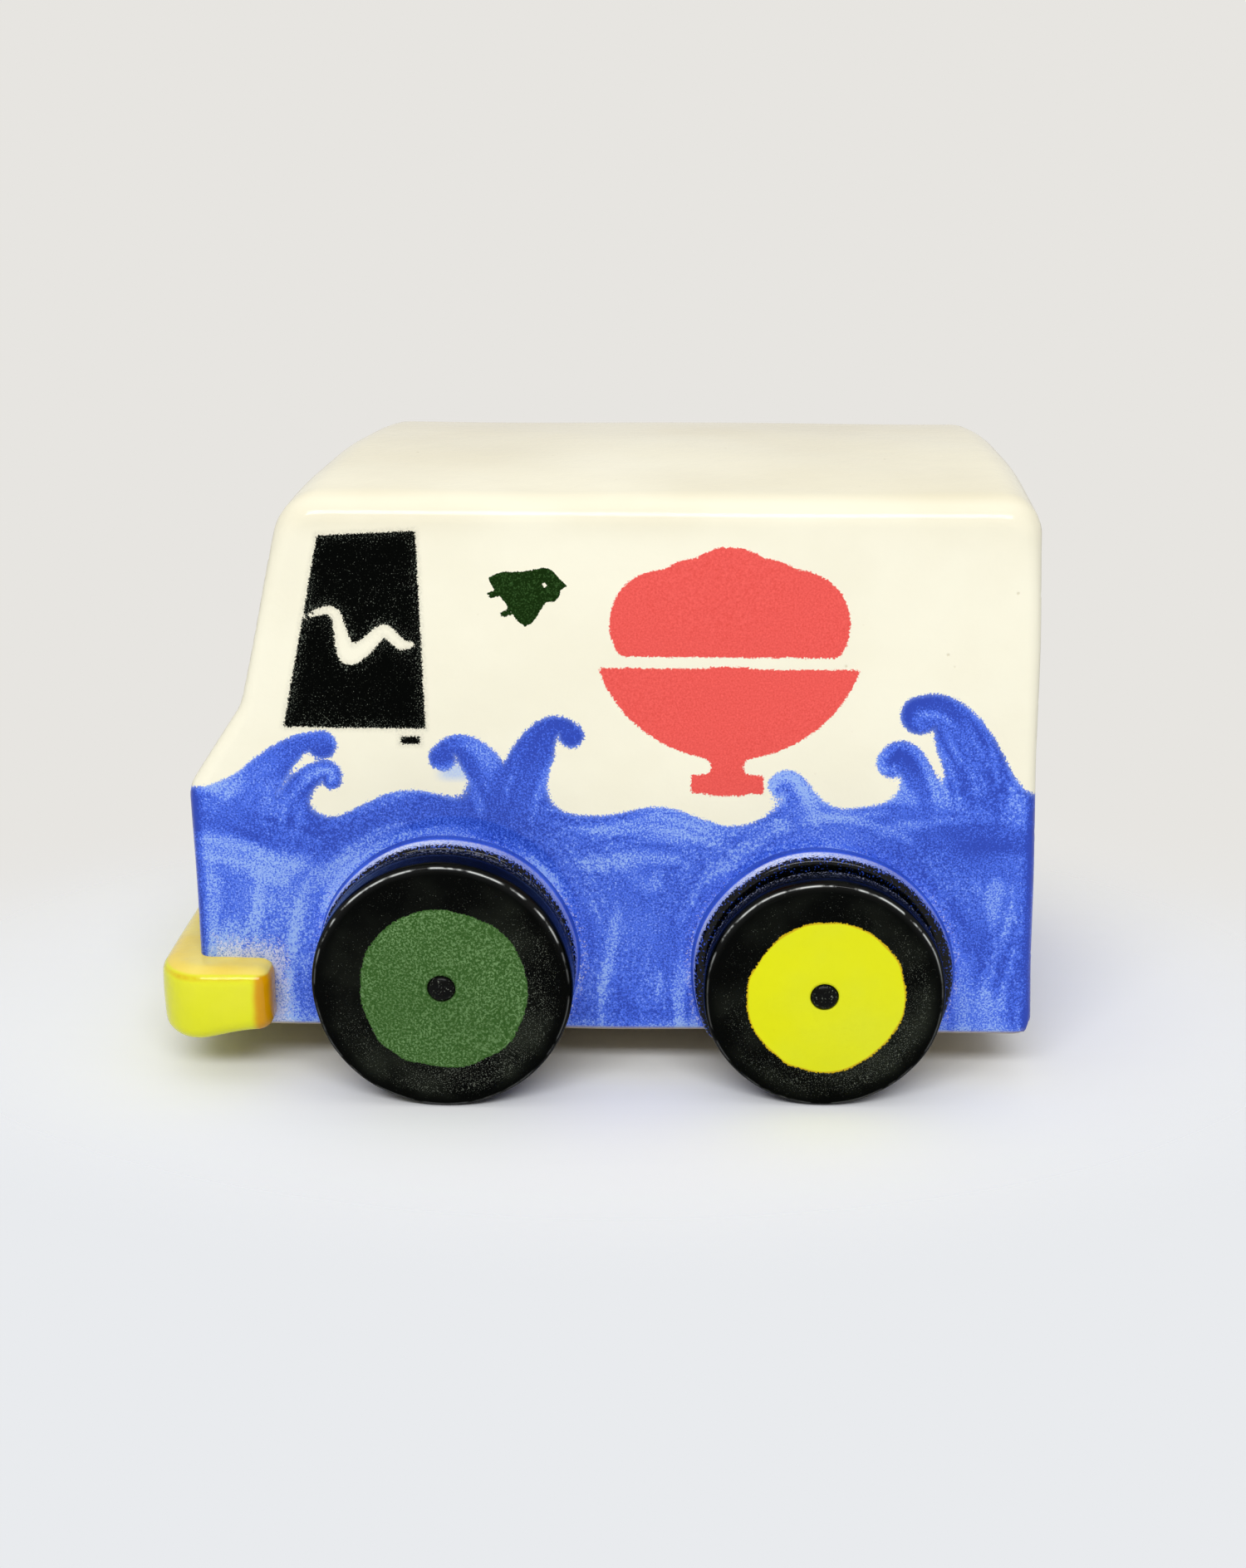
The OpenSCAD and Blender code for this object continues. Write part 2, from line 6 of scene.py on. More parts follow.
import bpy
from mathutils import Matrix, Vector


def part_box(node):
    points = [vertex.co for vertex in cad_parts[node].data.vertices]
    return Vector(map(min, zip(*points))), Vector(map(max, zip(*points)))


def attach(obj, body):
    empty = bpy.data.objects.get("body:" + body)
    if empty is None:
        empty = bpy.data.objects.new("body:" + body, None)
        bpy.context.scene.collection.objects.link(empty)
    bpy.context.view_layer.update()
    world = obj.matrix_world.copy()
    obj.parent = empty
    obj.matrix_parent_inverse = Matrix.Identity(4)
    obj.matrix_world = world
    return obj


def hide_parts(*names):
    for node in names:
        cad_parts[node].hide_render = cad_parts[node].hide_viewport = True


bl_info = {
    "name": "Ceramic Shaved Ice Truck",
    "version": (1, 0, 0),
    "blender": (4, 5, 0),
    "location": "View3D > Sidebar > Ice Truck",
    "description": "Builds the glazed body, bumper, pads and wheels of a ceramic shaved ice truck",
    "category": "Add Mesh",
}

import math
from types import SimpleNamespace

import bpy
import numpy as np
from bpy.props import FloatProperty, FloatVectorProperty, PointerProperty
from mathutils import Vector

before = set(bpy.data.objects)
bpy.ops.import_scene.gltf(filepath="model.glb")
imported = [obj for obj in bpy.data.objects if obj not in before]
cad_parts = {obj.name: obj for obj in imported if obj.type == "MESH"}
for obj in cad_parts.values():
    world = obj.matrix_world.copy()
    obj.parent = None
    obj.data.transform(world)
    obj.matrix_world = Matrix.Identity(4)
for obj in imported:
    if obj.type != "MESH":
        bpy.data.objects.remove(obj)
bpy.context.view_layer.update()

MM = 1000.0
# Play of an axle rod in its holes, and the gap between a rod and its wheels
PLAY = 0.3
GLUE = 0.05
# Rounding of a wheel's outer and inner edge, and height of an axle's domed end
OUTER_ROUND = 1.7
INNER_ROUND = 1.5
AXLE_DOME = 1.1
# Distance that is well outside a painted field
FAR = 9.0
SIDES = ((-1, "left"), (1, "right"))


def low(node):
    """Lowest corner of a CAD node in millimetres."""
    return np.array(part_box(node)[0]) * MM


def high(node):
    """Highest corner of a CAD node in millimetres."""
    return np.array(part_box(node)[1]) * MM


def half_length(node):
    """Half of a CAD node's extent in X, in millimetres."""
    return (high(node)[0] - low(node)[0]) / 2


def axle_sizes(end):
    """Place of an axle, and the sizes of its wheels, discs, rod and pads."""
    wheel, right, rod, pad = f"wheel_{end}_left", f"wheel_{end}_right", f"axle_{end}", f"pad_{end}"
    middle = (low(wheel) + high(wheel)) / 2
    return SimpleNamespace(
        x=middle[0], z=middle[2], rim=half_length(wheel), inner=low(right)[1], outer=high(right)[1],
        disc=half_length(f"disc_paint_{end}"), rod=half_length(rod), reach=high(rod)[1],
        pad=high(pad)[2] - middle[2], pad_out=high(pad)[1],
    )


# Faces of the clay body, axles, ice dish and lamps, from the frame
NOSE = low("nose_slab")[0]
TAIL = high("tail_slab")[0]
SILL = low("floor_slab")[2]
ROOF = high("roof_slab")[2]
HALF_W = high("roof_slab")[1]
BODY_L = TAIL - NOSE
AXLES = {end: axle_sizes(end) for end in ("front", "rear")}
DISH_FOOT = low("dish_paint")[2]
DISH_TOP = high("dish_paint")[2]
LAMP_Z = {end: (low(f"{end}_lamp_paint")[2] + high(f"{end}_lamp_paint")[2]) / 2 for end in ("head", "tail")}

# Swell along a flank: share of the body's length behind the nose, share of the wave height above the sill
SWELL = np.array([
    (0, 1.05), (0.15, 0.93), (0.26, 1.06), (0.37, 0.98), (0.48, 0.96),
    (0.55, 1), (0.64, 0.92), (0.7, 0.98), (0.9, 1.05), (1, 1.04),
])
# Breaking crests: foot, two pulls and tip of a curve, as shares like those of the swell,
# then the width at the foot and the width at the tip as shares of the wave height
CRESTS = (
    ((0.04, 0.9), (0.07, 1.05), (0.12, 1.25), (0.16, 1.25), 0.25, 0.115),
    ((0.12, 0.9), (0.11, 1.1), (0.18, 1.2), (0.17, 1.1), 0.15, 0.08),
    ((0.08, 0.9), (0.09, 0.97), (0.098, 1.03), (0.106, 1.08), 0.1, 0.05),
    ((0.37, 0.9), (0.36, 1.2), (0.32, 1.3), (0.3, 1.2), 0.24, 0.105),
    ((0.38, 0.9), (0.39, 1.15), (0.42, 1.4), (0.45, 1.3), 0.3, 0.1),
    ((0.72, 0.9), (0.72, 1.1), (0.7, 1.15), (0.69, 1.1), 0.15, 0.08),
    ((0.86, 0.95), (0.86, 1.15), (0.83, 1.3), (0.82, 1.2), 0.15, 0.12),
    ((0.93, 0.95), (0.92, 1.25), (0.88, 1.45), (0.85, 1.4), 0.35, 0.15),
)
# A crest's round tip is this much wider than the stroke, whose hollow side fades towards it
TIP_SWELL = 1.1
HOLLOW_FADE = 2
# Zigzag glint: share of the window's width, share of its height, width as a share of the glint's width
GLINT = np.array([
    (0.19, 0.565, 0.1), (0.28, 0.6, 0.5), (0.39, 0.6, 0.7), (0.435, 0.48, 1), (0.48, 0.38, 1.4),
    (0.61, 0.43, 1.1), (0.73, 0.51, 0.9), (0.84, 0.44, 0.8), (0.92, 0.44, 0.4),
])
# Plover, as shares of its length; the head and the throat are round, with a middle and a radius
PLOVER_BODY = np.array([
    (0.15, 0.28), (0, 0.25), (-0.25, 0.25), (-0.38, 0.2), (-0.44, 0.16),
    (-0.06, -0.4), (0.02, -0.44), (0.1, -0.4), (0.3, -0.1),
])
PLOVER_BEAK = np.array([(0.4, 0.2), (0.54, 0.08), (0.4, -0.02)])
PLOVER_ROUNDS = ((0.24, 0.1, 0.2), (0.33, -0.01, 0.12))
PLOVER_LEGS = ((-0.3, 0), (-0.15, -0.24))
PLOVER_EYE = (0.26, 0.08, 0.03)
# Panes on the windscreen and on the tail: start and end along the wall, and width
SCREEN_PANE = (4.3, 27.7, 34.5)
TAIL_PANE = (11.3, 37.3, 26.0)
PANE_GAP = 4


def tint(code):
    """Scene-linear colour of a six-digit screen colour."""
    parts = [int(code[i:i + 2], 16) / 255 for i in (0, 2, 4)]
    return tuple(c / 12.92 if c <= 0.04045 else ((c + 0.055) / 1.055) ** 2.4 for c in parts)


def length(name, description, millimetres):
    """A length property, given in millimetres and kept in metres."""
    return FloatProperty(name=name, description=description, default=millimetres / MM, min=0.0,
                         precision=5, unit="LENGTH")


def angle(name, description, degrees):
    """An angle property, given in degrees."""
    return FloatProperty(name=name, description=description, default=math.radians(degrees), unit="ROTATION")


def colour(name, description, code):
    """A colour property, given as a screen colour."""
    return FloatVectorProperty(name=name, description=description, default=tint(code), size=3,
                               min=0.0, max=1.0, subtype="COLOR")


class BodyShape(bpy.types.PropertyGroup):
    """Sizes of the slab body and its bumper."""

    hood_edge: length("Hood edge", "Height of the hood's front edge above the ground", 53.3)
    cowl: length("Windscreen foot", "Height of the windscreen's foot above the ground", 68)
    hood_lean: angle("Hood lean", "Lean of the hood back from upright", 33)
    screen_lean: angle("Windscreen lean", "Lean of the windscreen back from upright", 13)
    tail_lean: angle("Tail lean", "Lean of the tail forward from upright", 2)
    hood_bend: length("Hood bend", "Outside radius of the bend at the hood's front edge", 6.6)
    cowl_bend: length("Windscreen bend", "Radius of the hollow bend at the windscreen's foot", 10)
    brow_bend: length("Brow bend", "Outside radius of the bend between windscreen and roof", 8.5)
    tail_bend: length("Tail bend", "Outside radius of the bend between roof and tail", 6.5)
    roof_crown: length("Roof crown", "How much higher the roof is in its middle than along the flanks", 2.4)
    roof_round: length("Roof rounding", "Rounding of the edges between the roof and the flanks", 4.5)
    edge_round: length("Edge rounding", "Rounding of the edges along the flanks", 2.5)
    sill_round: length("Sill rounding", "Rounding of the lower edge", 0.8)
    heel_round: length("Heel rounding", "Rounding between the tail and the lower edge", 3.5)
    brow_skew: length("Brow skew", "How much further back the brow is on the right, from hand work", 5)
    wobble: length("Hand wobble", "How far hand work moves the clay's surface", 0.22)
    vent: length("Vent", "Diameter of the vent hole in the floor", 8)
    bumper_round: length("Bumper rounding", "Rounding of the bumper's edges", 2.8)


class PaintLayout(bpy.types.PropertyGroup):
    """Sizes and places of the painted fields."""

    wave: length("Wave height", "Measure of the waves above the sill", 42)
    window_rear: length("Window place", "Distance of the side windows' rear edge behind the nose", 41.6)
    window_foot: length("Window foot", "Height of the side windows' lower edge above the sill", 55.6)
    window_l: length("Window length", "Length of the side windows along their lower edge", 24.4)
    window_h: length("Window height", "Height of the side windows", 33.6)
    window_slant: length("Window slant", "Slant of the side windows' front edge", 7.2)
    glint: length("Glint width", "Width of the pale glint across a window", 2.4)
    bird_x: length("Bird place", "Distance of the bird behind the nose", 58.6)
    bird_z: length("Bird height", "Height of the bird above the sill", 79.5)
    bird_l: length("Bird length", "Length of the bird from tail to beak", 13.5)
    dish_x: length("Dish place", "Distance of the ice dish's middle behind the nose", 93)
    dish_w: length("Dish width", "Width of the ice dish", 44)
    dish_rim: length("Dish rim", "Height of the dish's rim above its foot", 22)
    dish_depth: length("Dish depth", "Depth of the dish's bowl", 16)
    ice: length("Ice lumps", "Radius of the lumps of ice", 9.4)
    lamp: length("Lamps", "Diameter of the lamps", 11)
    lamp_gap: length("Lamp distance", "Distance between two lamps", 58)


class GlazeColours(bpy.types.PropertyGroup):
    """Colours of the glazes and the bare clay."""

    cream: colour("Cream", "Glaze of the bare body", "fcf8e2")
    # The pooled cream also paints shade on the far side of the roof
    cream_pool_and_shade: colour("Pooled cream", "Cream where the glaze lies thicker", "ded4b4")
    blue_deep: colour("Deep blue", "Blue where strokes overlap", "2645b8")
    blue: colour("Blue", "Blue of the waves", "4870ee")
    blue_pale: colour("Pale blue", "Blue where the wash is thin", "9cbcfa")
    black: colour("Black", "Glaze of the wheels and windows", "020302")
    grit: colour("Grit", "Pale grains in the black", "a8b0a0")
    red: colour("Red", "Ice dish and tail lamps", "f2544c")
    green: colour("Green", "Discs of the front wheels", "3a5d2a")
    green_pale: colour("Pale green", "Grains in the green discs", "86ac74")
    dark_green: colour("Dark green", "Bird", "152c0a")
    yellow: colour("Yellow", "Bumper and discs of the rear wheels", "e6e81c")
    # Amber also paints shade on the ends of the bumper's legs
    amber: colour("Amber", "Yellow where the glaze breaks over an edge", "d99a04")
    straw: colour("Straw", "Yellow where the glaze is thin", "fae87c")
    # The clay is darker than its own colour, as painted shade under the truck
    clay: colour("Clay", "Bare clay of the underside", "c8b898")


class StageLook(bpy.types.PropertyGroup):
    """Colours of the stage and strength of its light."""

    floor: colour("Floor", "Colour of the floor", "eceef1")
    air: colour("Air", "Colour of the air behind the truck", "e7e5e1")
    dome: FloatProperty(name="Dome", description="Strength of the air's light from overhead", default=1.5)
    key: FloatProperty(name="Key light", description="Power of the soft light in front",
                       default=11.7, unit="POWER")
    floor_lift: FloatProperty(name="Floor lift", default=1.1,
                              description="How much brighter the floor looks than it is lit")


# Distances, negative inside a shape


def round_meet(a, b, r):
    """Where two shapes overlap, with the edge between them rounded."""
    a, b = a + r, b + r
    return np.hypot(np.maximum(a, 0), np.maximum(b, 0)) + np.minimum(np.maximum(a, b), 0) - r


def soft_join(a, b, reach):
    """Two shapes joined with a soft inner corner."""
    h = np.clip(0.5 + 0.5 * (b - a) / reach, 0, 1)
    return b + (a - b) * h - reach * h * (1 - h)


def block(x, z, half_w, half_h):
    """Distance to a rectangle about the middle."""
    return np.maximum(np.abs(x) - half_w, np.abs(z) - half_h)


def outline_distance(x, z, corners):
    """Distance to a closed outline."""
    corners = np.asarray(corners, float)
    best = np.full(np.shape(x), 1e9)
    inside = np.zeros(np.shape(x), bool)
    for (ax, az), (bx, bz) in zip(corners, np.roll(corners, -1, 0)):
        ex, ez = bx - ax, bz - az
        t = np.clip(((x - ax) * ex + (z - az) * ez) / (ex * ex + ez * ez), 0, 1)
        best = np.minimum(best, np.hypot(x - ax - t * ex, z - az - t * ez))
        if az != bz:
            inside ^= ((az > z) != (bz > z)) & (x < ax + (z - az) * ex / ez)
    return np.where(inside, -best, best)


def line_distance(x, z, points, left, right):
    """Distance to a line with half widths on its left and right, and how far along and off it a place is."""
    best = np.full(np.shape(x), 1e9)
    run = np.zeros(np.shape(x))
    offset = np.zeros(np.shape(x))
    gone = 0.0
    for k in range(len(points) - 1):
        (ax, az), (bx, bz) = points[k], points[k + 1]
        ex, ez = bx - ax, bz - az
        size = math.hypot(ex, ez)
        t = np.clip(((x - ax) * ex + (z - az) * ez) / size ** 2, 0, 1)
        away = np.hypot(x - ax - t * ex, z - az - t * ez)
        side = np.sign((x - ax) * ez - (z - az) * ex)
        half = [h[k] + (h[k + 1] - h[k]) * t for h in (left, right)]
        d = away - np.where(side > 0, half[1], half[0])
        nearer = d < best
        best = np.where(nearer, d, best)
        run = np.where(nearer, gone + t * size, run)
        offset = np.where(nearer, side * away, offset)
        gone += size
    return best, run, offset


def about(axle, x, z):
    """Distance from an axle's middle line, and angle about it."""
    dx, dz = x - axle.x, z - axle.z
    return np.hypot(dx, dz), np.arctan2(dz, dx)


def smooth_line(points, steps):
    """A soft line through points, with a number of steps from each to the next."""
    p = np.concatenate([points[:1], points, points[-1:]])
    t = (np.arange(steps) / steps)[:, None]
    line = [
        b + (c - a) * t / 2 + (2 * a - 5 * b + 4 * c - d) * t ** 2 / 2 + (3 * b - a - 3 * c + d) * t ** 3 / 2
        for a, b, c, d in zip(p, p[1:], p[2:], p[3:])
    ]
    return np.concatenate([*line, points[-1:]])


# Shares and noise


def eased(t):
    """Share that starts and ends softly."""
    t = np.clip(t, 0, 1)
    return t * t * (3 - 2 * t)


def bell(t, middle, width):
    """Share that is 1 in the middle and falls off softly on both sides."""
    return np.exp(-((t - middle) / width) ** 2)


def lattice(cells, seed):
    """A fixed number from 0 to 1 for each whole-numbered cell."""
    n = np.full(cells.shape[:-1], seed * 7919 + 11, np.int64)
    for axis, factor in zip(range(cells.shape[-1]), (374761393, 668265263, 2147483647)):
        n = (n ^ (cells[..., axis].astype(np.int64) * factor)) & 0xFFFFFFFF
        n = ((n ^ (n >> 13)) * 1274126177) & 0xFFFFFFFF
    return ((n ^ (n >> 16)) & 0xFFFF) / 65535.0


def smooth_noise(seed, *coords):
    """Soft noise from 0 to 1 over two or three coordinates."""
    p = np.stack(coords, -1)
    base = np.floor(p)
    f = eased(p - base)
    total = np.zeros(p.shape[:-1])
    for corner in range(2 ** p.shape[-1]):
        step = np.array([(corner >> a) & 1 for a in range(p.shape[-1])])
        weight = np.prod(np.where(step == 1, f, 1 - f), -1)
        total += weight * lattice(base + step, seed)
    return total


def layered_noise(seed, *coords):
    """Three layers of soft noise, each finer and weaker than the one before."""
    layers = (0.55, 0.3, 0.15)
    return sum(smooth_noise(seed + k, *(c * 2 ** k for c in coords)) * w for k, w in enumerate(layers))


# Meshes


def net_surface(field, start, end, steps):
    """Closed quad mesh where a field changes sign in a box, with one point in each crossed cell."""
    axes = [np.arange(a, b + s, s) for a, b, s in zip(start, end, steps)]
    grid = np.stack(np.meshgrid(*axes, indexing="ij"), -1)
    value = field(grid.reshape(-1, 3)).reshape(grid.shape[:3])
    inside = value < 0
    corners = np.array([((c >> 0) & 1, (c >> 1) & 1, (c >> 2) & 1) for c in range(8)])
    cell_shape = tuple(n - 1 for n in value.shape)
    held = np.zeros(cell_shape, np.int8)
    for c in corners:
        held += inside[c[0]:c[0] + cell_shape[0], c[1]:c[1] + cell_shape[1], c[2]:c[2] + cell_shape[2]]
    cells = np.argwhere((held > 0) & (held < 8))
    number = np.full(cell_shape, -1, np.int64)
    number[tuple(cells.T)] = np.arange(len(cells))
    at = np.stack([value[tuple((cells + c).T)] for c in corners], 1)
    total = np.zeros((len(cells), 3))
    hits = np.zeros(len(cells))
    for a in range(8):
        for axis in range(3):
            b = a | (1 << axis)
            if b == a:
                continue
            cross = (at[:, a] < 0) != (at[:, b] < 0)
            gap = np.where(cross, at[:, a] - at[:, b], 1.0)
            share = at[:, a] / gap
            total += np.where(cross[:, None], corners[a] + share[:, None] * (corners[b] - corners[a]), 0)
            hits += cross
    points = np.array(start) + (cells + total / hits[:, None]) * np.array(steps)
    quads = []
    for axis in range(3):
        u, v = np.eye(3, dtype=int)[(axis + 1) % 3], np.eye(3, dtype=int)[(axis + 2) % 3]
        here = [slice(1, -1)] * 3
        there = [slice(1, -1)] * 3
        here[axis], there[axis] = slice(0, -1), slice(1, None)
        lower, upper = inside[tuple(here)], inside[tuple(there)]
        shift = np.ones(3, int)
        shift[axis] = 0
        for leaving in (True, False):
            found = np.argwhere(lower & ~upper if leaving else ~lower & upper) + shift
            ring = [found - u - v, found - v, found, found - u]
            ring = [number[tuple(r.T)] for r in (ring if leaving else ring[::-1])]
            quads.append(np.stack(ring, 1))
    return points, np.concatenate(quads)


def settle(points, field, rounds=4):
    """Moves points onto the place where a field is zero, and gives the outward directions there."""
    probe, farthest = 0.05, 0.6
    for _ in range(rounds):
        value = field(points)
        slope = np.stack([
            field(points + step) - field(points - step) for step in np.eye(3) * probe
        ], 1) / (2 * probe)
        size = np.maximum(np.sum(slope ** 2, 1), 0.25)
        points = points - slope * np.clip(value / size, -farthest, farthest)[:, None]
    return points, slope / np.maximum(np.linalg.norm(slope, axis=1), 1e-6)[:, None]


def new_piece(name, points, faces, material, fields=None):
    """A smooth mesh object from points in millimetres, with a float attribute for each field."""
    mesh = bpy.data.meshes.new(name)
    faces = faces if isinstance(faces, list) else faces.tolist()
    mesh.from_pydata((np.asarray(points) / MM).tolist(), [], faces)
    mesh.validate()
    mesh.shade_smooth()
    for key, values in (fields or {}).items():
        mesh.attributes.new(key, "FLOAT", "POINT").data.foreach_set("value", np.asarray(values, np.float32))
    mesh.materials.append(material)
    piece = bpy.data.objects.new(name, mesh)
    bpy.context.scene.collection.objects.link(piece)
    return piece


def turned(rings, segments):
    """Radius, offset, angle and quads of a closed loop of (radius, offset) that is turned about an axis."""
    rings = np.asarray(rings, float)
    turns = np.arange(segments) * 2 * math.pi / segments
    radius = np.repeat(rings[:, 0], segments)
    offset = np.repeat(rings[:, 1], segments)
    theta = np.tile(turns, len(rings))
    i, j = np.meshgrid(np.arange(len(rings)), np.arange(segments), indexing="ij")
    i, j = i.ravel(), j.ravel()
    i2, j2 = (i + 1) % len(rings), (j + 1) % segments
    quads = np.stack([i * segments + j, i2 * segments + j, i2 * segments + j2, i * segments + j2], 1)
    return radius, offset, theta, quads


# Node trees


class Nodes:
    """Adds nodes to one tree: a value that is a socket is linked, and any other is set."""

    def __init__(self, tree):
        self.tree = tree

    def add(self, kind, inputs=None, **settings):
        node = self.tree.nodes.new(kind)
        for key, value in settings.items():
            setattr(node, key, value)
        for key, value in (inputs or {}).items():
            self.put(node.inputs[key], value)
        return node

    def put(self, socket, value):
        if isinstance(value, bpy.types.NodeSocket):
            self.tree.links.new(value, socket)
        elif socket.type == "RGBA" and len(value) == 3:
            socket.default_value = (*value, 1.0)
        else:
            socket.default_value = value

    def math(self, operation, a, b=0.0, c=0.0, clamp=False):
        return self.add("ShaderNodeMath", {0: a, 1: b, 2: c}, operation=operation, use_clamp=clamp).outputs[0]

    def times(self, a, b):
        return self.math("MULTIPLY", a, b)

    def scaled(self, value, factor, start, clamp=False):
        return self.math("MULTIPLY_ADD", value, factor, start, clamp)

    def most(self, a, b):
        return self.math("MAXIMUM", a, b)

    def span(self, value, start, end, to_start=0.0, to_end=1.0):
        node = self.add("ShaderNodeMapRange", {
            "Value": value, "From Min": start, "From Max": end, "To Min": to_start, "To Max": to_end,
        }, interpolation_type="SMOOTHSTEP")
        return node.outputs["Result"]

    def mix(self, share, a, b):
        return self.add("ShaderNodeMix", {0: share, 6: a, 7: b}, data_type="RGBA").outputs[2]

    def blend(self, share, a, b):
        return self.add("ShaderNodeMix", {0: share, 2: a, 3: b}, data_type="FLOAT").outputs[0]

    def noise(self, vector, scale, detail=2.0, rough=0.5):
        node = self.add("ShaderNodeTexNoise", {
            "Vector": vector, "Scale": scale, "Detail": detail, "Roughness": rough,
        })
        return node.outputs["Fac"]

    def centred(self, value):
        return self.math("SUBTRACT", value, 0.5)

    def field(self, name):
        return self.add("ShaderNodeAttribute", attribute_type="GEOMETRY", attribute_name=name).outputs["Fac"]

    def place(self):
        return self.add("ShaderNodeTexCoord").outputs["Object"]


def node_group(name, inputs, outputs):
    """A shader node group with a place and named floats: its tree, nodes, inputs and output node."""
    tree = bpy.data.node_groups.new(name, "ShaderNodeTree")
    tree.interface.new_socket("Place", in_out="INPUT", socket_type="NodeSocketVector")
    for key, default in inputs.items():
        socket = tree.interface.new_socket(key, in_out="INPUT", socket_type="NodeSocketFloat")
        socket.default_value = default
    for key in outputs:
        tree.interface.new_socket(key, in_out="OUTPUT", socket_type="NodeSocketFloat")
    n = Nodes(tree)
    return tree, n, n.add("NodeGroupInput").outputs, n.add("NodeGroupOutput")


def stippled_edge_group():
    """Mask of a painted field whose edge is ragged and breaks up into grains."""
    tree, n, given, out = node_group("Stippled Edge", {
        "Distance": 0.0, "Feather": 0.5, "Ragged": 0.2, "Grain": 3200.0,
    }, ["Mask"])
    wander = n.centred(n.noise(given["Place"], 420.0, 2.0))
    grain = n.centred(n.noise(given["Place"], given["Grain"], 1.0))
    moved = n.scaled(wander, n.times(given["Ragged"], 2.0), given["Distance"])
    level = n.math("DIVIDE", moved, n.most(given["Feather"], 0.01))
    n.put(out.inputs["Mask"], n.span(n.scaled(grain, 3.0, level), 0.35, -0.35))
    return tree


def glaze_skin_group():
    """Surface of a fired glaze: a mottle from 0 to 1, a height for bumps, a roughness and its pinholes."""
    tree, n, given, out = node_group("Glaze Skin", {
        "Ripple": 1.0, "Pinholes": 0.5, "Gloss": 0.25,
    }, ["Mottle", "Height", "Roughness", "Pinhole"])
    broad = n.noise(given["Place"], 55.0, 3.0)
    ripple = n.noise(given["Place"], 240.0, 2.0)
    peel = n.noise(given["Place"], 1500.0, 2.0)
    cells = n.add("ShaderNodeTexVoronoi", {"Vector": given["Place"], "Scale": 260.0, "Randomness": 1.0})
    near = n.span(cells.outputs["Distance"], 0.09, 0.03)
    chosen = n.math("GREATER_THAN", n.noise(given["Place"], 130.0, 1.0), 0.62)
    pinhole = n.times(n.times(near, chosen), given["Pinholes"])
    height = n.times(n.scaled(peel, 0.18, ripple), given["Ripple"])
    n.put(out.inputs["Mottle"], n.span(broad, 0.32, 0.68))
    n.put(out.inputs["Height"], n.scaled(pinhole, -1.2, height))
    n.put(out.inputs["Roughness"], n.scaled(n.centred(peel), 0.12, given["Gloss"]))
    n.put(out.inputs["Pinhole"], pinhole)
    return tree


def paint_grain_group():
    """Grain of dry brushed or sprayed colour, from 0 to 1."""
    tree, n, given, out = node_group("Paint Grain", {"Grain": 3000.0, "Contrast": 1.0}, ["Grain"])
    fine = n.centred(n.noise(given["Place"], given["Grain"], 2.0, 0.7))
    n.put(out.inputs["Grain"], n.scaled(fine, n.times(given["Contrast"], 2.4), 0.5, clamp=True))
    return tree


def grit_group():
    """Sparse pale grains, gathered in patches."""
    tree, n, given, out = node_group("Grit", {"Grain": 2600.0, "Amount": 0.5}, ["Mask"])
    fine = n.noise(given["Place"], given["Grain"], 1.0)
    patch = n.centred(n.noise(given["Place"], 110.0, 2.0))
    cut = n.scaled(n.scaled(patch, 0.5, given["Amount"]), -0.32, 0.78)
    n.put(out.inputs["Mask"], n.math("MULTIPLY", n.math("SUBTRACT", fine, cut), 9.0, clamp=True))
    return tree


GROUPS = {}


def groups():
    """The shared node groups, made once."""
    if not GROUPS:
        GROUPS.update(edge=stippled_edge_group(), skin=glaze_skin_group(),
                      grain=paint_grain_group(), grit=grit_group())
    return GROUPS


class Glaze(Nodes):
    """Nodes of one glaze: a Principled shader with the skin of a fired glaze."""

    def __init__(self, name, ripple, pinholes, gloss, coat=0.0, specular=0.02):
        self.material = bpy.data.materials.new(name)
        self.material.use_nodes = True
        super().__init__(self.material.node_tree)
        self.tree.nodes.clear()
        self.shader = self.add("ShaderNodeBsdfPrincipled", {
            "Coat Weight": coat, "Coat Roughness": 0.06, "Specular IOR Level": specular,
        })
        self.add("ShaderNodeOutputMaterial", {"Surface": self.shader.outputs[0]})
        self.at = self.place()
        self.skin = self.shared("skin", Ripple=ripple, Pinholes=pinholes, Gloss=gloss)

    def shared(self, name, **inputs):
        node = self.add("ShaderNodeGroup", node_tree=groups()[name])
        for key, value in {"Place": self.at, **inputs}.items():
            self.put(node.inputs[key], value)
        return node.outputs

    def grain(self, size, contrast):
        return self.shared("grain", Grain=size, Contrast=contrast)["Grain"]

    def grit(self, size, amount):
        return self.shared("grit", Grain=size, Amount=amount)["Mask"]

    def edge(self, distance, feather, ragged, size=3200.0):
        return self.shared("edge", Distance=distance, Feather=feather, Ragged=ragged, Grain=size)["Mask"]

    def coat(self, weight):
        self.put(self.shader.inputs["Coat Weight"], weight)

    def finish(self, base, rough, height, strength, depth=0.0003):
        bump = self.add("ShaderNodeBump", {"Strength": strength, "Distance": depth, "Height": height})
        for key, value in (("Base Color", base), ("Roughness", rough), ("Normal", bump.outputs[0])):
            self.put(self.shader.inputs[key], value)
        return self.material


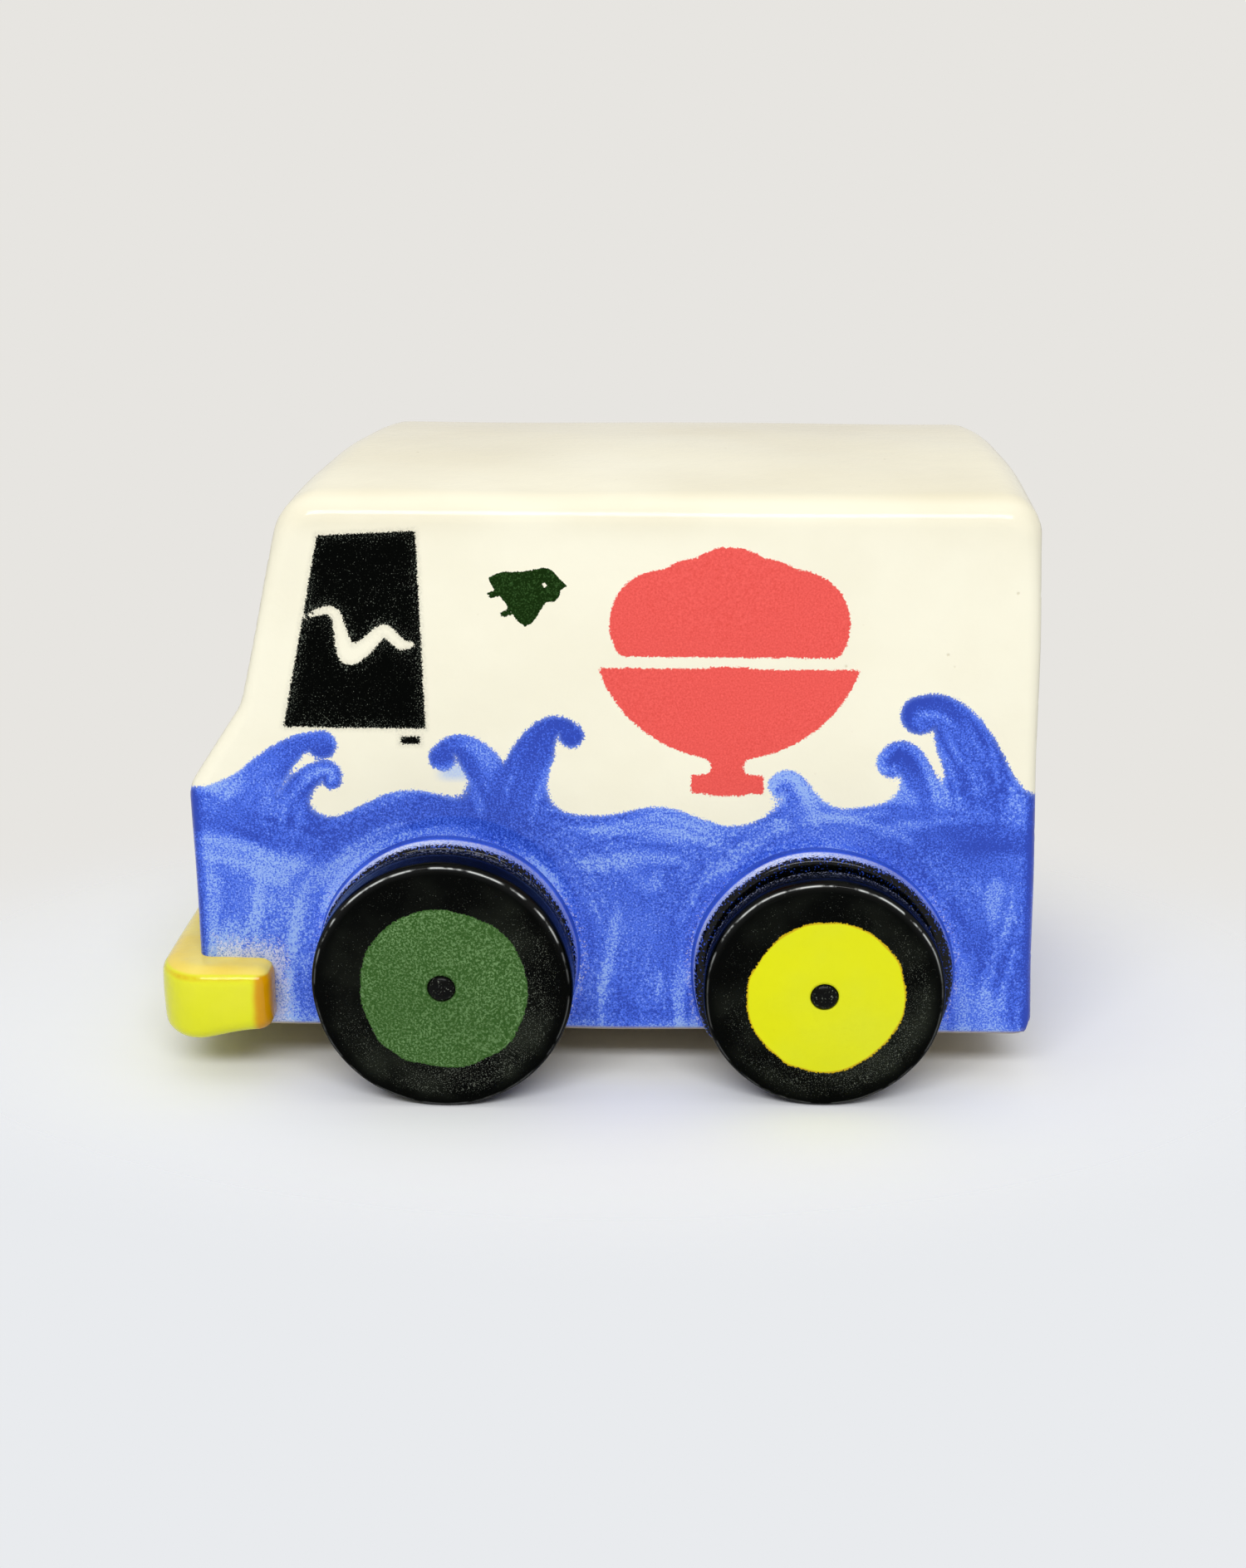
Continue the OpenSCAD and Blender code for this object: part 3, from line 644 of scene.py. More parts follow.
def body_glaze(c):
    """Cream glaze over the whole body, with the painted fields on it and bare clay underneath."""
    n = Glaze("Painted body glaze", ripple=1.0, pinholes=0.7, gloss=0.22)
    skin, grain = n.skin, n.grain(3000.0, 1.0)

    # Pooled cream where the glaze lies thicker, and painted shade on the far side of the roof
    pooled_and_shaded = n.scaled(skin["Mottle"], 0.1, n.field("pool_and_shade"), clamp=True)
    base = n.mix(pooled_and_shaded, c.cream, c.cream_pool_and_shade)
    base = n.mix(n.times(skin["Pinhole"], 0.5), base, tint("b9a77c"))

    tone = n.scaled(n.centred(grain), 1.0, n.field("wash"), clamp=True)
    wash = n.mix(n.span(tone, 0.0, 0.5), c.blue_pale, c.blue)
    wash = n.mix(n.span(tone, 0.5, 1.0), wash, c.blue_deep)
    fringe = n.times(n.span(n.field("blue"), -0.9, 0.3), 0.4)
    wash = n.mix(fringe, wash, c.blue_pale)
    base = n.mix(n.field("ghost"), base, n.mix(grain, c.blue_pale, tint("c8dcf2")))
    blue = n.edge(n.field("blue"), 0.45, 0.06)
    base = n.mix(blue, base, wash)

    frost = n.times(n.edge(n.field("frost"), 2.2, 0.5, 2600.0), 0.6)
    base = n.mix(frost, base, n.mix(n.span(grain, 0.25, 0.55), tint("3f60c8"), tint("f6f9ff")))

    red = n.edge(n.field("red"), 0.3, 0.2)
    base = n.mix(red, base, n.mix(0.55, n.mix(grain, tint("d83c36"), tint("ff7068")), c.red))
    green = n.edge(n.field("green"), 0.15, 0.12)
    base = n.mix(green, base, n.mix(n.span(grain, 0.45, 1.0), c.dark_green, tint("36562a")))
    yellow = n.edge(n.field("yellow"), 0.2, 0.15)
    base = n.mix(yellow, base, n.mix(skin["Mottle"], c.yellow, c.amber))

    halo = n.times(n.span(n.field("black"), 1.1, 0.0), n.times(grain, 0.35))
    base = n.mix(halo, base, tint("8d8a7c"))
    black = n.edge(n.field("black"), 0.3, 0.07, 3400.0)
    grit = n.grit(4600.0, n.span(n.field("black"), -2.6, 0.0, 0.3, 0.65))
    base = n.mix(black, base, n.mix(n.times(grit, 0.4), c.black, c.grit))

    # The bare clay is painted darker than it is, as painted shade: it throws less light under the truck
    clay = n.field("clay")
    shaded_sand = n.mix(grain, tint("b4a486"), tint("d0c2a4"))
    base = n.mix(clay, base, n.mix(0.5, shaded_sand, c.clay))

    painted = n.most(n.most(blue, red), n.most(black, green))
    gloss = n.scaled(painted, 0.1, skin["Roughness"])
    dull = n.most(clay, n.most(black, green))
    n.coat(n.scaled(dull, -0.45, 0.45, clamp=True))
    height = n.scaled(painted, 0.25, skin["Height"])
    height = n.scaled(n.times(grain, clay), 1.2, height)
    return n.finish(base, n.blend(clay, gloss, 0.85), height, 0.35)


def pad_glaze(c):
    """Blue glaze of the pads, with painted shade in the crease at their foot, a painted highlight across
    their rim, and dusted with black towards the wheel.
    """
    n = Glaze("Blue pad glaze", ripple=1.0, pinholes=0.4, gloss=0.16, coat=0.2, specular=0.1)
    grain, out = n.grain(2800.0, 1.2), n.field("out")
    tone = n.scaled(n.centred(grain), 0.4, n.field("wash"), clamp=True)
    base = n.mix(tone, c.blue, c.blue_deep)
    # Darker navy at the pad's foot against the flank: painted shade in the crease
    base = n.mix(n.times(n.span(out, 0.9, 0.2), 0.3), base, tint("16245c"))
    # Pale band across the pad's rim: a painted highlight, strongest on the side towards the nose
    paler = n.times(n.times(n.span(out, 0.7, 1.4), n.span(out, 3.6, 2.6)), n.field("pale"))
    base = n.mix(paler, base, n.mix(n.span(grain, 0.1, 0.6), c.blue_pale, tint("f6f8fd")))
    flecks = n.edge(n.math("SUBTRACT", 3.0, out), 1.3, 0.5, 2600.0)
    base = n.mix(flecks, base, c.black)
    return n.finish(base, n.skin["Roughness"], n.skin["Height"], 0.35)


def bumper_glaze(c):
    """Thick yellow glaze that breaks to amber over the edges and lies thin on top, with amber also as painted
    shade on the ends of its legs.
    """
    n = Glaze("Yellow bumper glaze", ripple=1.3, pinholes=0.2, gloss=0.14, coat=0.3, specular=0.12)
    mottle = n.skin["Mottle"]
    drift = n.centred(n.noise(n.at, 160.0, 3.0))
    base = n.mix(n.times(mottle, 0.35), c.yellow, tint("efe94a"))
    amber = n.scaled(drift, 0.7, n.field("amber"))
    base = n.mix(n.span(amber, 0.15, 0.95), base, c.amber)
    straw = n.scaled(drift, 0.5, n.field("straw"))
    base = n.mix(n.span(straw, 0.2, 0.8), base, n.mix(mottle, c.straw, tint("f4d450")))
    return n.finish(base, n.skin["Roughness"], n.skin["Height"], 0.4, 0.0004)


def wheel_glaze(c, end):
    """Black glaze with pale grit, a disc of colour brushed on the outer face, a painted highlight along the
    upper rim and a painted reflection of the blue flank on the inner tread.
    """
    n = Glaze(f"Black {end} wheel glaze", ripple=1.2, pinholes=0.3, gloss=0.2)
    skin, grain = n.skin, n.grain(2600.0, 1.3)
    grit = n.grit(5600.0, n.field("grit"))
    haze = n.times(n.span(n.noise(n.at, 90.0, 3.0), 0.4, 0.7), n.field("grit"))
    base = n.mix(haze, c.black, tint("2a2e26"))
    base = n.mix(n.times(grit, 0.32), base, c.grit)
    # Blue and pale flecks over the inner tread: a painted reflection of the blue flank in the glossy tread
    flecks = n.times(n.field("tread_reflection"), n.span(grain, 0.5, 0.95))
    reflection_tone = n.mix(n.noise(n.at, 900.0, 1.0), tint("5468a8"), tint("dfe4ec"))
    base = n.mix(n.times(flecks, 0.6), base, reflection_tone)
    # A pale broken line along the upper rim: a painted highlight
    rim_highlight = n.times(n.field("rim"), n.span(n.noise(n.at, 300.0, 4.0), 0.42, 0.56))
    base = n.mix(n.times(rim_highlight, 0.85), base, tint("e4e8e6"))
    disc = n.edge(n.field("disc"), 0.25, 0.25, 2600.0)
    if end == "front":
        patch = n.scaled(n.noise(n.at, 70.0, 2.0), 0.9, 0.1)
        fill = n.mix(n.times(n.span(grain, 0.35, 1.0), patch), c.green, c.green_pale)
        fill = n.mix(n.times(n.span(grain, 0.4, 0.0), 0.5), fill, tint("2c5220"))
    else:
        fill = n.mix(n.times(skin["Mottle"], 0.5), c.yellow, tint("dfe63a"))
        line = n.times(n.span(n.field("disc"), -0.4, -0.1), 0.6)
        fill = n.mix(line, fill, tint("c07a1c"))
    base = n.mix(disc, base, fill)
    n.coat(n.field("gloss"))
    rough = n.scaled(n.most(disc, grit), 0.2, skin["Roughness"])
    height = n.scaled(grit, 0.4, n.scaled(disc, 0.5, skin["Height"]))
    return n.finish(base, rough, height, 0.4)


def axle_glaze(c):
    """Black glaze of the axle rods, with a little grit."""
    n = Glaze("Black axle glaze", ripple=1.5, pinholes=0.6, gloss=0.28, coat=0.08, specular=0.05)
    base = n.mix(n.times(n.grit(2900.0, 0.5), 0.4), c.black, c.grit)
    return n.finish(base, n.skin["Roughness"], n.skin["Height"], 0.4)


# Body


def bent_corner(before, corner, after, radius, steps=14):
    """Points of a bend that rounds one corner of the profile."""
    back, ahead = np.subtract(before, corner), np.subtract(after, corner)
    back, ahead = back / np.linalg.norm(back), ahead / np.linalg.norm(ahead)
    half = math.acos(float(np.dot(back, ahead))) / 2
    middle = (back + ahead) / np.linalg.norm(back + ahead)
    centre = np.array(corner) + middle * radius / math.sin(half)
    first = np.array(corner) + back * radius / math.tan(half) - centre
    last = np.array(corner) + ahead * radius / math.tan(half) - centre
    turn = math.atan2(first[0] * last[1] - first[1] * last[0], float(np.dot(first, last)))
    return [
        centre + first @ np.array([[math.cos(a), math.sin(a)], [-math.sin(a), math.cos(a)]])
        for a in np.linspace(0, turn, steps)
    ]


def profile_corners(b):
    """Corners of the body's profile in X and Z, from below the nose over the roof to below the tail."""
    below = 14.0
    cowl_x = NOSE + (b.cowl - b.hood_edge) * MM * math.tan(b.hood_lean)
    brow_x = cowl_x + (ROOF - b.cowl * MM) * math.tan(b.screen_lean)
    lean = math.tan(b.tail_lean)
    return [
        (NOSE, SILL - below), (NOSE, b.hood_edge * MM), (cowl_x, b.cowl * MM), (brow_x, ROOF),
        (TAIL - (ROOF - SILL) * lean, ROOF), (TAIL + below * lean, SILL - below),
    ]


class Profile:
    """Distance to the body's profile in X and Z, read from a fine table."""

    step = 0.25
    margin = 8

    def __init__(self, b):
        corners = profile_corners(b)
        bends = (b.hood_bend, b.cowl_bend, b.brow_bend, b.tail_bend)
        outline = [np.array(corners[0])]
        for k, radius in enumerate(bends, 1):
            outline += bent_corner(corners[k - 1], corners[k], corners[k + 1], radius * MM)
        outline.append(np.array(corners[-1]))
        self.start = np.array([NOSE - self.margin, SILL - self.margin])
        xs = np.arange(self.start[0], TAIL + self.margin, self.step)
        zs = np.arange(self.start[1], ROOF + self.margin, self.step)
        self.table = outline_distance(*np.meshgrid(xs, zs, indexing="ij"), outline)

    def __call__(self, x, z):
        u = np.clip((x - self.start[0]) / self.step, 0, self.table.shape[0] - 1.001)
        v = np.clip((z - self.start[1]) / self.step, 0, self.table.shape[1] - 1.001)
        i, j = u.astype(int), v.astype(int)
        f, g = u - i, v - j
        t = self.table
        return (t[i, j] * (1 - f) * (1 - g) + t[i + 1, j] * f * (1 - g)
                + t[i, j + 1] * (1 - f) * g + t[i + 1, j + 1] * f * g)


def hand_wobble(p):
    """Slow unevenness of hand-rolled slabs, from about -1 to 1."""
    x, y, z = p.T
    return (np.sin(x * 0.11 + z * 0.05 + 0.6) * 0.4 + np.sin(z * 0.17 - x * 0.07 + y * 0.05 + 2.1) * 0.35
            + np.sin(y * 0.19 + x * 0.13 - z * 0.03 + 4.0) * 0.25)


def body_field(b, profile):
    """Distance to the clay body: rounded along the flanks and the sill, with axle tunnels and a vent hole."""
    cowl, vent_depth = b.cowl * MM, 6

    def field(p):
        x, y, z = p.T
        leaning = eased((z - cowl) / 20) * eased((10 - x) / 30)
        upper = eased((z - cowl) / (ROOF - cowl))
        crown = b.roof_crown * MM * (1 - np.minimum(np.abs(y) / HALF_W, 1) ** 2) * upper
        side = profile(x - b.brow_skew * MM * leaning * (y + HALF_W) / (2 * HALF_W), z - crown)
        edge_round = b.edge_round + (b.roof_round - b.edge_round) * upper ** 4
        d = round_meet(side, np.abs(y) - HALF_W, edge_round * MM)
        d = np.maximum(d, round_meet(side, SILL - z, np.where(x > 0, b.heel_round, b.sill_round) * MM))
        d = round_meet(d, SILL - z, b.sill_round * MM) - b.wobble * MM * hand_wobble(p)
        for axle in AXLES.values():
            d = np.maximum(d, axle.rod + PLAY - about(axle, x, z)[0])
        vent = np.maximum(np.hypot(x - (NOSE + TAIL) / 2, y) - b.vent * MM / 2, z - SILL - vent_depth)
        return np.maximum(d, -vent)
    return field


def crest_distance(x, z, crest, wave):
    """Distance to a breaking crest, and how far along and how far off its curve a place is."""
    *pulls, wide, narrow = crest
    t = np.linspace(0, 1, 22)
    weights = np.stack([(1 - t) ** 3, 3 * (1 - t) ** 2 * t, 3 * (1 - t) * t ** 2, t ** 3], 1)
    points = weights @ (np.array(pulls) * (BODY_L, wave) + (NOSE, SILL))
    full = (wide + (narrow - wide) * t ** 0.6) * wave / 2
    hollow = full * np.minimum(1, HOLLOW_FADE * (1 - t))
    hooks_forward = pulls[-1][0] < pulls[0][0]
    d, run, offset = line_distance(x, z, points, *((hollow, full) if hooks_forward else (full, hollow)))
    tip = np.hypot(x - points[-1][0], z - points[-1][1]) - narrow * wave * TIP_SWELL / 2
    return np.minimum(d, tip), run, offset


def swell_height(x, wave):
    """Height of the swell at a place along the truck."""
    share = np.clip((x - NOSE) / BODY_L, 0, 1)
    k = np.clip(np.searchsorted(SWELL[:, 0], share, side="right") - 1, 0, len(SWELL) - 2)
    a, b = SWELL[k], SWELL[k + 1]
    t = (1 - np.cos(np.pi * (share - a[..., 0]) / (b[..., 0] - a[..., 0]))) / 2
    return SILL + (a[..., 1] + (b[..., 1] - a[..., 1]) * t) * wave


def blue_fields(p, flank, wave):
    """Distance to the edge of the blue, and how deep its brushed wash is, from 0 to 1."""
    x, y, z = p.T
    top = swell_height(x, wave)
    slope = swell_height(x + 0.5, wave) - swell_height(x - 0.5, wave)
    swell = (z - top) / np.hypot(1, slope)
    edge = swell
    # The noise runs on round the corners of the body, in one layer of its third coordinate
    around = x + y + HALF_W
    layer = np.full(len(x), -31.0)
    level = layered_noise(3, around * 0.045, (top - z) * 0.34, layer)
    pulled = layered_noise(9, around * 0.36 + np.sin(z * 0.12) * 0.7, z * 0.045, layer)
    below = eased((top - z - 6) / 16)
    streak = level * (1 - below) + (0.15 + pulled * 0.7) * below
    for axle in AXLES.values():
        away, turn = about(axle, x, z)
        ring = layered_noise(17, away * 0.42, turn * 1.3, layer + axle.x)
        near = bell(away, axle.rim, 10) * eased((z - axle.z + 6) / 14) * flank
        streak = streak * (1 - near) + ring * near
    for k, crest in enumerate(CRESTS):
        d, run, offset = crest_distance(x, z, crest, wave)
        d = np.where(flank > 0.5, d, FAR)
        edge = np.minimum(edge, soft_join(swell, d, 1.8 + 4.5 * eased((14 - run) / 6)))
        curl = layered_noise(29 + k, run * 0.07, offset * 0.5, layer)
        near = eased((1.5 - d) / 3.0) * flank * eased((z - top + 6) / 9)
        streak = streak * (1 - near) + curl * near
    patch = smooth_noise(41, around * 0.055, z * 0.06, layer) * 0.65
    patch += smooth_noise(43, around * 0.12, z * 0.11, layer) * 0.35
    overlap = bell(streak, 0.5, 0.035) * 0.2
    paler = 0.22 * eased((NOSE + 26 - x) / 18) * flank + 0.04 * eased((top - z - 14) / 14)
    paler += 0.4 * bell(x, TAIL - 9, 6) * bell(z, SILL + 6, 5) * flank
    rim = bell(edge, -0.7, 0.9) * 0.06
    rear = 0.12 * eased((x - TAIL + 42) / 30)
    wash = 0.6 + (streak - 0.5) * 1.4 + (patch - 0.5) * 0.7 + overlap + rim + rear - paler
    return edge, wash


def window_art(x, z, paint):
    """Distance to the black of a side window, with its glint and the door handle below it."""
    rear = NOSE + paint.window_rear * MM
    foot = SILL + paint.window_foot * MM
    wide, tall = paint.window_l * MM, paint.window_h * MM
    rear_slant, front_drop, rear_rise = 0.8, 0.4, 0.5
    pane = outline_distance(x, z, [
        (rear - wide, foot), (rear - wide + paint.window_slant * MM, foot + tall - front_drop),
        (rear - rear_slant, foot + tall + rear_rise), (rear, foot),
    ])
    stroke = smooth_line(GLINT, 3)
    glint = stroke[:, :2] * (wide, tall) + (rear - wide, foot)
    half = stroke[:, 2] * paint.glint * MM / 2
    pane = np.maximum(pane, -line_distance(x, z, glint, half, half)[0])
    handle_x, handle_z, handle_l, handle_h = rear - 2.7, foot - 2.1, 3.4, 1.4
    return np.minimum(pane, block(x - handle_x, z - handle_z, handle_l / 2, handle_h / 2))


def dish_art(x, z, paint):
    """Distance to the red of the ice dish: a bowl on a stem and foot, with a heap of ice."""
    x, z = x - NOSE - paint.dish_x * MM, z - DISH_FOOT
    half, depth, rim = paint.dish_w * MM / 2, paint.dish_depth * MM, paint.dish_rim * MM
    bowl_r = (half ** 2 + depth ** 2) / (2 * depth)
    soft, corner, gap = 1.6, 0.5, 2.0
    stem_w, foot_w, foot_h = 5.4, 12.4, 3.4
    red = round_meet(np.hypot(x, z - rim + depth - bowl_r) - bowl_r, z - rim, corner)
    red = soft_join(red, block(x, z - rim / 2, stem_w / 2, rim / 2), soft)
    red = soft_join(red, block(x, z - foot_h / 2, foot_w / 2, foot_h / 2), soft)
    heap, ice = rim + gap, paint.ice * MM
    lower = np.array([half - 1.2 * ice, heap + 0.6 * ice])
    upper = np.array([0, DISH_TOP - DISH_FOOT - ice])
    mound = block(x, z - lower[1] / 2, lower[0], lower[1] / 2)
    for step in (0, 0.5, 1):
        lump = lower + step * (upper - lower)
        mound = np.minimum(mound, np.hypot(np.abs(x) - lump[0], z - lump[1]) - ice)
    return np.minimum(red, round_meet(mound, heap - z, corner))


def bird_art(x, z, paint):
    """Distance to the green of the plover, with its legs and its eye."""
    size = paint.bird_l * MM
    x, z = (x - NOSE - paint.bird_x * MM) / size, (z - SILL - paint.bird_z * MM) / size
    green = np.minimum(outline_distance(x, z, PLOVER_BODY), outline_distance(x, z, PLOVER_BEAK))
    for round_x, round_z, radius in PLOVER_ROUNDS:
        green = np.minimum(green, np.hypot(x - round_x, z - round_z) - radius)
    turn, half_l, half_w = math.radians(204), 0.075, 0.04
    for leg_x, leg_z in PLOVER_LEGS:
        along = (x - leg_x) * math.cos(turn) + (z - leg_z) * math.sin(turn)
        across = (z - leg_z) * math.cos(turn) - (x - leg_x) * math.sin(turn)
        green = np.minimum(green, block(along - half_l, across, half_l, half_w))
    eye_x, eye_z, eye_r = PLOVER_EYE
    return np.maximum(green, eye_r - np.hypot(x - eye_x, z - eye_z)) * size


def end_art(p, b, paint):
    """Distances to the panes, the head lamps and the tail lamps on the nose and tail."""
    x, y, z = p.T
    corners = profile_corners(b)
    front = x < 0
    foot, brow = np.array(corners[2]), np.array(corners[3])
    way = (brow - foot) / np.linalg.norm(brow - foot)
    along = np.where(front, (x - foot[0]) * way[0] + (z - foot[1]) * way[1], ROOF - z)
    start, end, wide = (np.where(front, s, t) for s, t in zip(SCREEN_PANE, TAIL_PANE))
    panes = block(along - (start + end) / 2, np.abs(y) - (PANE_GAP + wide) / 2, (end - start) / 2, wide / 2)
    lamp_z = np.where(front, LAMP_Z["head"], LAMP_Z["tail"])
    lamps = np.hypot(np.abs(y) - paint.lamp_gap * MM / 2, z - lamp_z) - paint.lamp * MM / 2
    return panes, np.where(front, lamps, FAR), np.where(front, FAR, lamps)


def body_marks(points, facing, outer, b, paint):
    """Fields for the body's glaze: distances to its painted fields, and shares of what lies on them."""
    x, y, z = points.T
    flank = eased((np.abs(y) - HALF_W + 5.5) / 2.5)
    on_flank = np.abs(y) > HALF_W - 3.2
    edge, wash = blue_fields(points, flank, paint.wave * MM)
    panes, head, tail = end_art(points, b, paint)
    corner = bell(outer, -0.9, 0.9) * flank * ((x < NOSE + 8) | (x > TAIL - 8))
    wash += corner * 0.6 - bell(z, SILL + 0.6, 1.6) * 0.35

    roof_edge = bell(ROOF - z, 2.5, 3.5) * eased((np.abs(y) - HALF_W + 9) / 6)
    pool_and_shade = roof_edge * smooth_noise(51, x * 0.09, z * 0.2, y * 0.01) * 0.35
    on_roof = eased((facing[:, 2] - 0.7) / 0.25) * (z > ROOF - 8)
    # The roof is painted darker towards its far side, as painted shade, on top of its pooling and mottle
    far_shade = 0.4 * eased((y + 26) / 66)
    pool_and_shade += on_roof * (0.35 * smooth_noise(53, x * 0.05, y * 0.06, np.zeros(len(x))) + far_shade)
    hidden = (np.abs(y) < HALF_W - 4) & (outer < -4)
    # A small smudge of thin blue on the cream beside the second pair of crests
    smudge_x, smudge_z = NOSE + 46.4, SILL + 48
    ghost = 0.8 * np.exp(-((x - smudge_x) / 2.8) ** 4 - ((z - smudge_z) / 1.6) ** 4)

    # Pale dust round the end of the bumper and round the pads, where it is thinnest above them
    bar_end, bar_top = high("bumper")[0], high("bumper")[2]
    frost = np.hypot(np.maximum(x - bar_end, 0), np.maximum(z - bar_top, 0) * 0.7) - 1.6
    frost = np.where(y < 0, np.maximum(frost, NOSE + 3.5 - x), FAR)
    for axle in AXLES.values():
        above = eased(((z - axle.z) / axle.pad - 0.5) / 0.4)
        flecks = np.abs(about(axle, x, z)[0] - axle.pad - 0.6) + 0.5 + 1.1 * above
        frost = np.minimum(frost, flecks)
    return {
        "blue": np.maximum(edge, np.where(on_flank, -FAR, -np.minimum(head, tail) - 0.1)),
        "wash": wash,
        "black": np.where(on_flank, window_art(x, z, paint), panes),
        "red": np.where(on_flank, dish_art(x, z, paint), tail),
        "green": np.where(on_flank, bird_art(x, z, paint), FAR),
        "yellow": np.where(on_flank, FAR, head),
        "pool_and_shade": pool_and_shade,
        "clay": np.maximum(eased((-facing[:, 2] - 0.75) / 0.2), hidden),
        "frost": np.where(on_flank, frost, FAR),
        "ghost": np.where(on_flank, ghost, 0.0),
    }


def body_charts(points, facing, quads):
    """Flat places for the body's faces: one chart for each side, and one for each tunnel."""
    sheet = 302.0
    middle = points[quads].mean(1)
    way = facing[quads].mean(1)
    x, y, z = points[quads][..., 0], points[quads][..., 1], points[quads][..., 2]
    u, across, v = x - NOSE + 2, y + HALF_W + 1, z - SILL + 2
    flat = {0: (across, v), 1: (u, v), 2: (u, across)}
    uv = np.zeros((*quads.shape, 2))
    lead = np.argmax(np.abs(way) * np.array([1.0, 1.15, 1.0]), 1)
    for axis, sign, chart in ((1, -1, (0, 0)), (1, 1, (0, 100)), (2, 1, (150, 0)), (2, -1, (150, 94)),
                              (0, -1, (0, 200)), (0, 1, (94, 200))):
        chosen = (lead == axis) & (way[:, axis] * sign >= 0)
        uv[chosen] = np.stack(flat[axis], -1)[chosen] + np.array(chart)
    for k, axle in enumerate(AXLES.values()):
        bore = about(axle, middle[:, 0], middle[:, 2])[0] < axle.rod + 0.5
        turn = about(axle, x, z)[1]
        turn = np.where(turn - turn[:, :1] > math.pi, turn - 2 * math.pi, turn)
        turn = np.where(turn - turn[:, :1] < -math.pi, turn + 2 * math.pi, turn)
        uv[bore] = np.stack([y + HALF_W + 190, (turn + 4) * axle.rod + 202 + 24 * k], -1)[bore]
    return np.clip(uv / sheet, 0, 1)


class BuildBody(bpy.types.Operator):
    """Builds the body as one glazed skin over its clay slabs, with all that is painted on it"""

    bl_idname = "ice_truck.build_body"
    bl_label = "Build body"

    def execute(self, context):
        b, paint = context.scene.ice_truck_body, context.scene.ice_truck_paint
        profile = Profile(b)
        field = body_field(b, profile)
        start = (NOSE - 2.1, -HALF_W - 2.7, SILL - 2.05)
        end = (TAIL + 2, HALF_W + 2.7, ROOF + 5)
        points, quads = net_surface(field, start, end, (0.68, 1.8, 0.68))
        points, facing = settle(points, field)
        marks = body_marks(points, facing, profile(points[:, 0], points[:, 2]), b, paint)
        piece = new_piece("glazed_body", points, quads, body_glaze(context.scene.ice_truck_glaze), marks)
        if len(piece.data.polygons) != len(quads):
            raise RuntimeError("the body's skin has faces that Blender dropped")
        uv = body_charts(points, facing, quads)
        piece.data.uv_layers.new(name="OFBake").data.foreach_set("uv", uv.reshape(-1).astype(np.float32))
        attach(piece, "body")
        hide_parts("flank_left", "flank_right", "nose_slab", "hood_slab", "screen_slab", "roof_slab",
                    "tail_slab", "floor_slab", "wave_paint", "window_paint", "dish_paint", "bird_paint",
                    "head_lamp_paint", "tail_lamp_paint")
        return {"FINISHED"}


# Pads, bumper, wheels and axles


def pad_field(axle, side):
    """Distance to the pad behind a wheel: a little uneven, with a soft foot and a hole for the rod."""
    edge_round, sunk, above_sill, sill_round = 1.1, 1.2, 0.3, 0.6
    foot_spread, foot_rise = 0.8, 0.6

    def field(p):
        x, y, z = p.T
        y = y * side
        away, turn = about(axle, x, z)
        rim = axle.pad - 0.2 + 0.12 * np.sin(turn * 3 + axle.x) + 0.08 * np.sin(turn * 7 + 1)
        foot = foot_spread * np.exp(-np.maximum(y - HALF_W + 0.2, 0) / foot_rise)
        d = round_meet(away - rim - foot, y - axle.pad_out, edge_round)
        d = np.maximum(d, HALF_W - sunk - y)
        d = round_meet(d, SILL + above_sill - z, sill_round)
        return np.maximum(d, axle.rod + PLAY - away)
    return field


class BuildPads(bpy.types.Operator):
    """Builds the pads on the flanks that the wheels run against"""

    bl_idname = "ice_truck.build_pads"
    bl_label = "Build pads"

    def execute(self, context):
        material = pad_glaze(context.scene.ice_truck_glaze)
        for end, axle in AXLES.items():
            span = axle.pad + 2.5
            for side, name in SIDES:
                field = pad_field(axle, side)
                near, far = sorted((side * (HALF_W - 2.0), side * (axle.pad_out + 1.0)))
                points, quads = net_surface(
                    field, (axle.x - span, near, SILL - 1), (axle.x + span, far, axle.z + span),
                    (0.5, 0.36, 0.5))
                points, _ = settle(points, field)
                x, y, z = points.T
                turn, still = about(axle, x, z)[1], np.zeros(len(x))
                patchy = smooth_noise(67, turn * 4.0, still) ** 0.3
                piece = new_piece(f"glazed_pad_{end}_{name}", points, quads, material, {
                    "out": np.abs(y) - HALF_W,
                    "wash": layered_noise(61, turn * 3.0, y * 0.6, still),
                    # Share of the painted highlight on the pad's rim, strongest on the side towards the nose
                    "pale": 0.35 + 0.65 * eased((0.6 - np.cos(turn)) / 0.7) * patchy,
                })
                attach(piece, "body")
                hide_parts(f"pad_{end}")
        return {"FINISHED"}


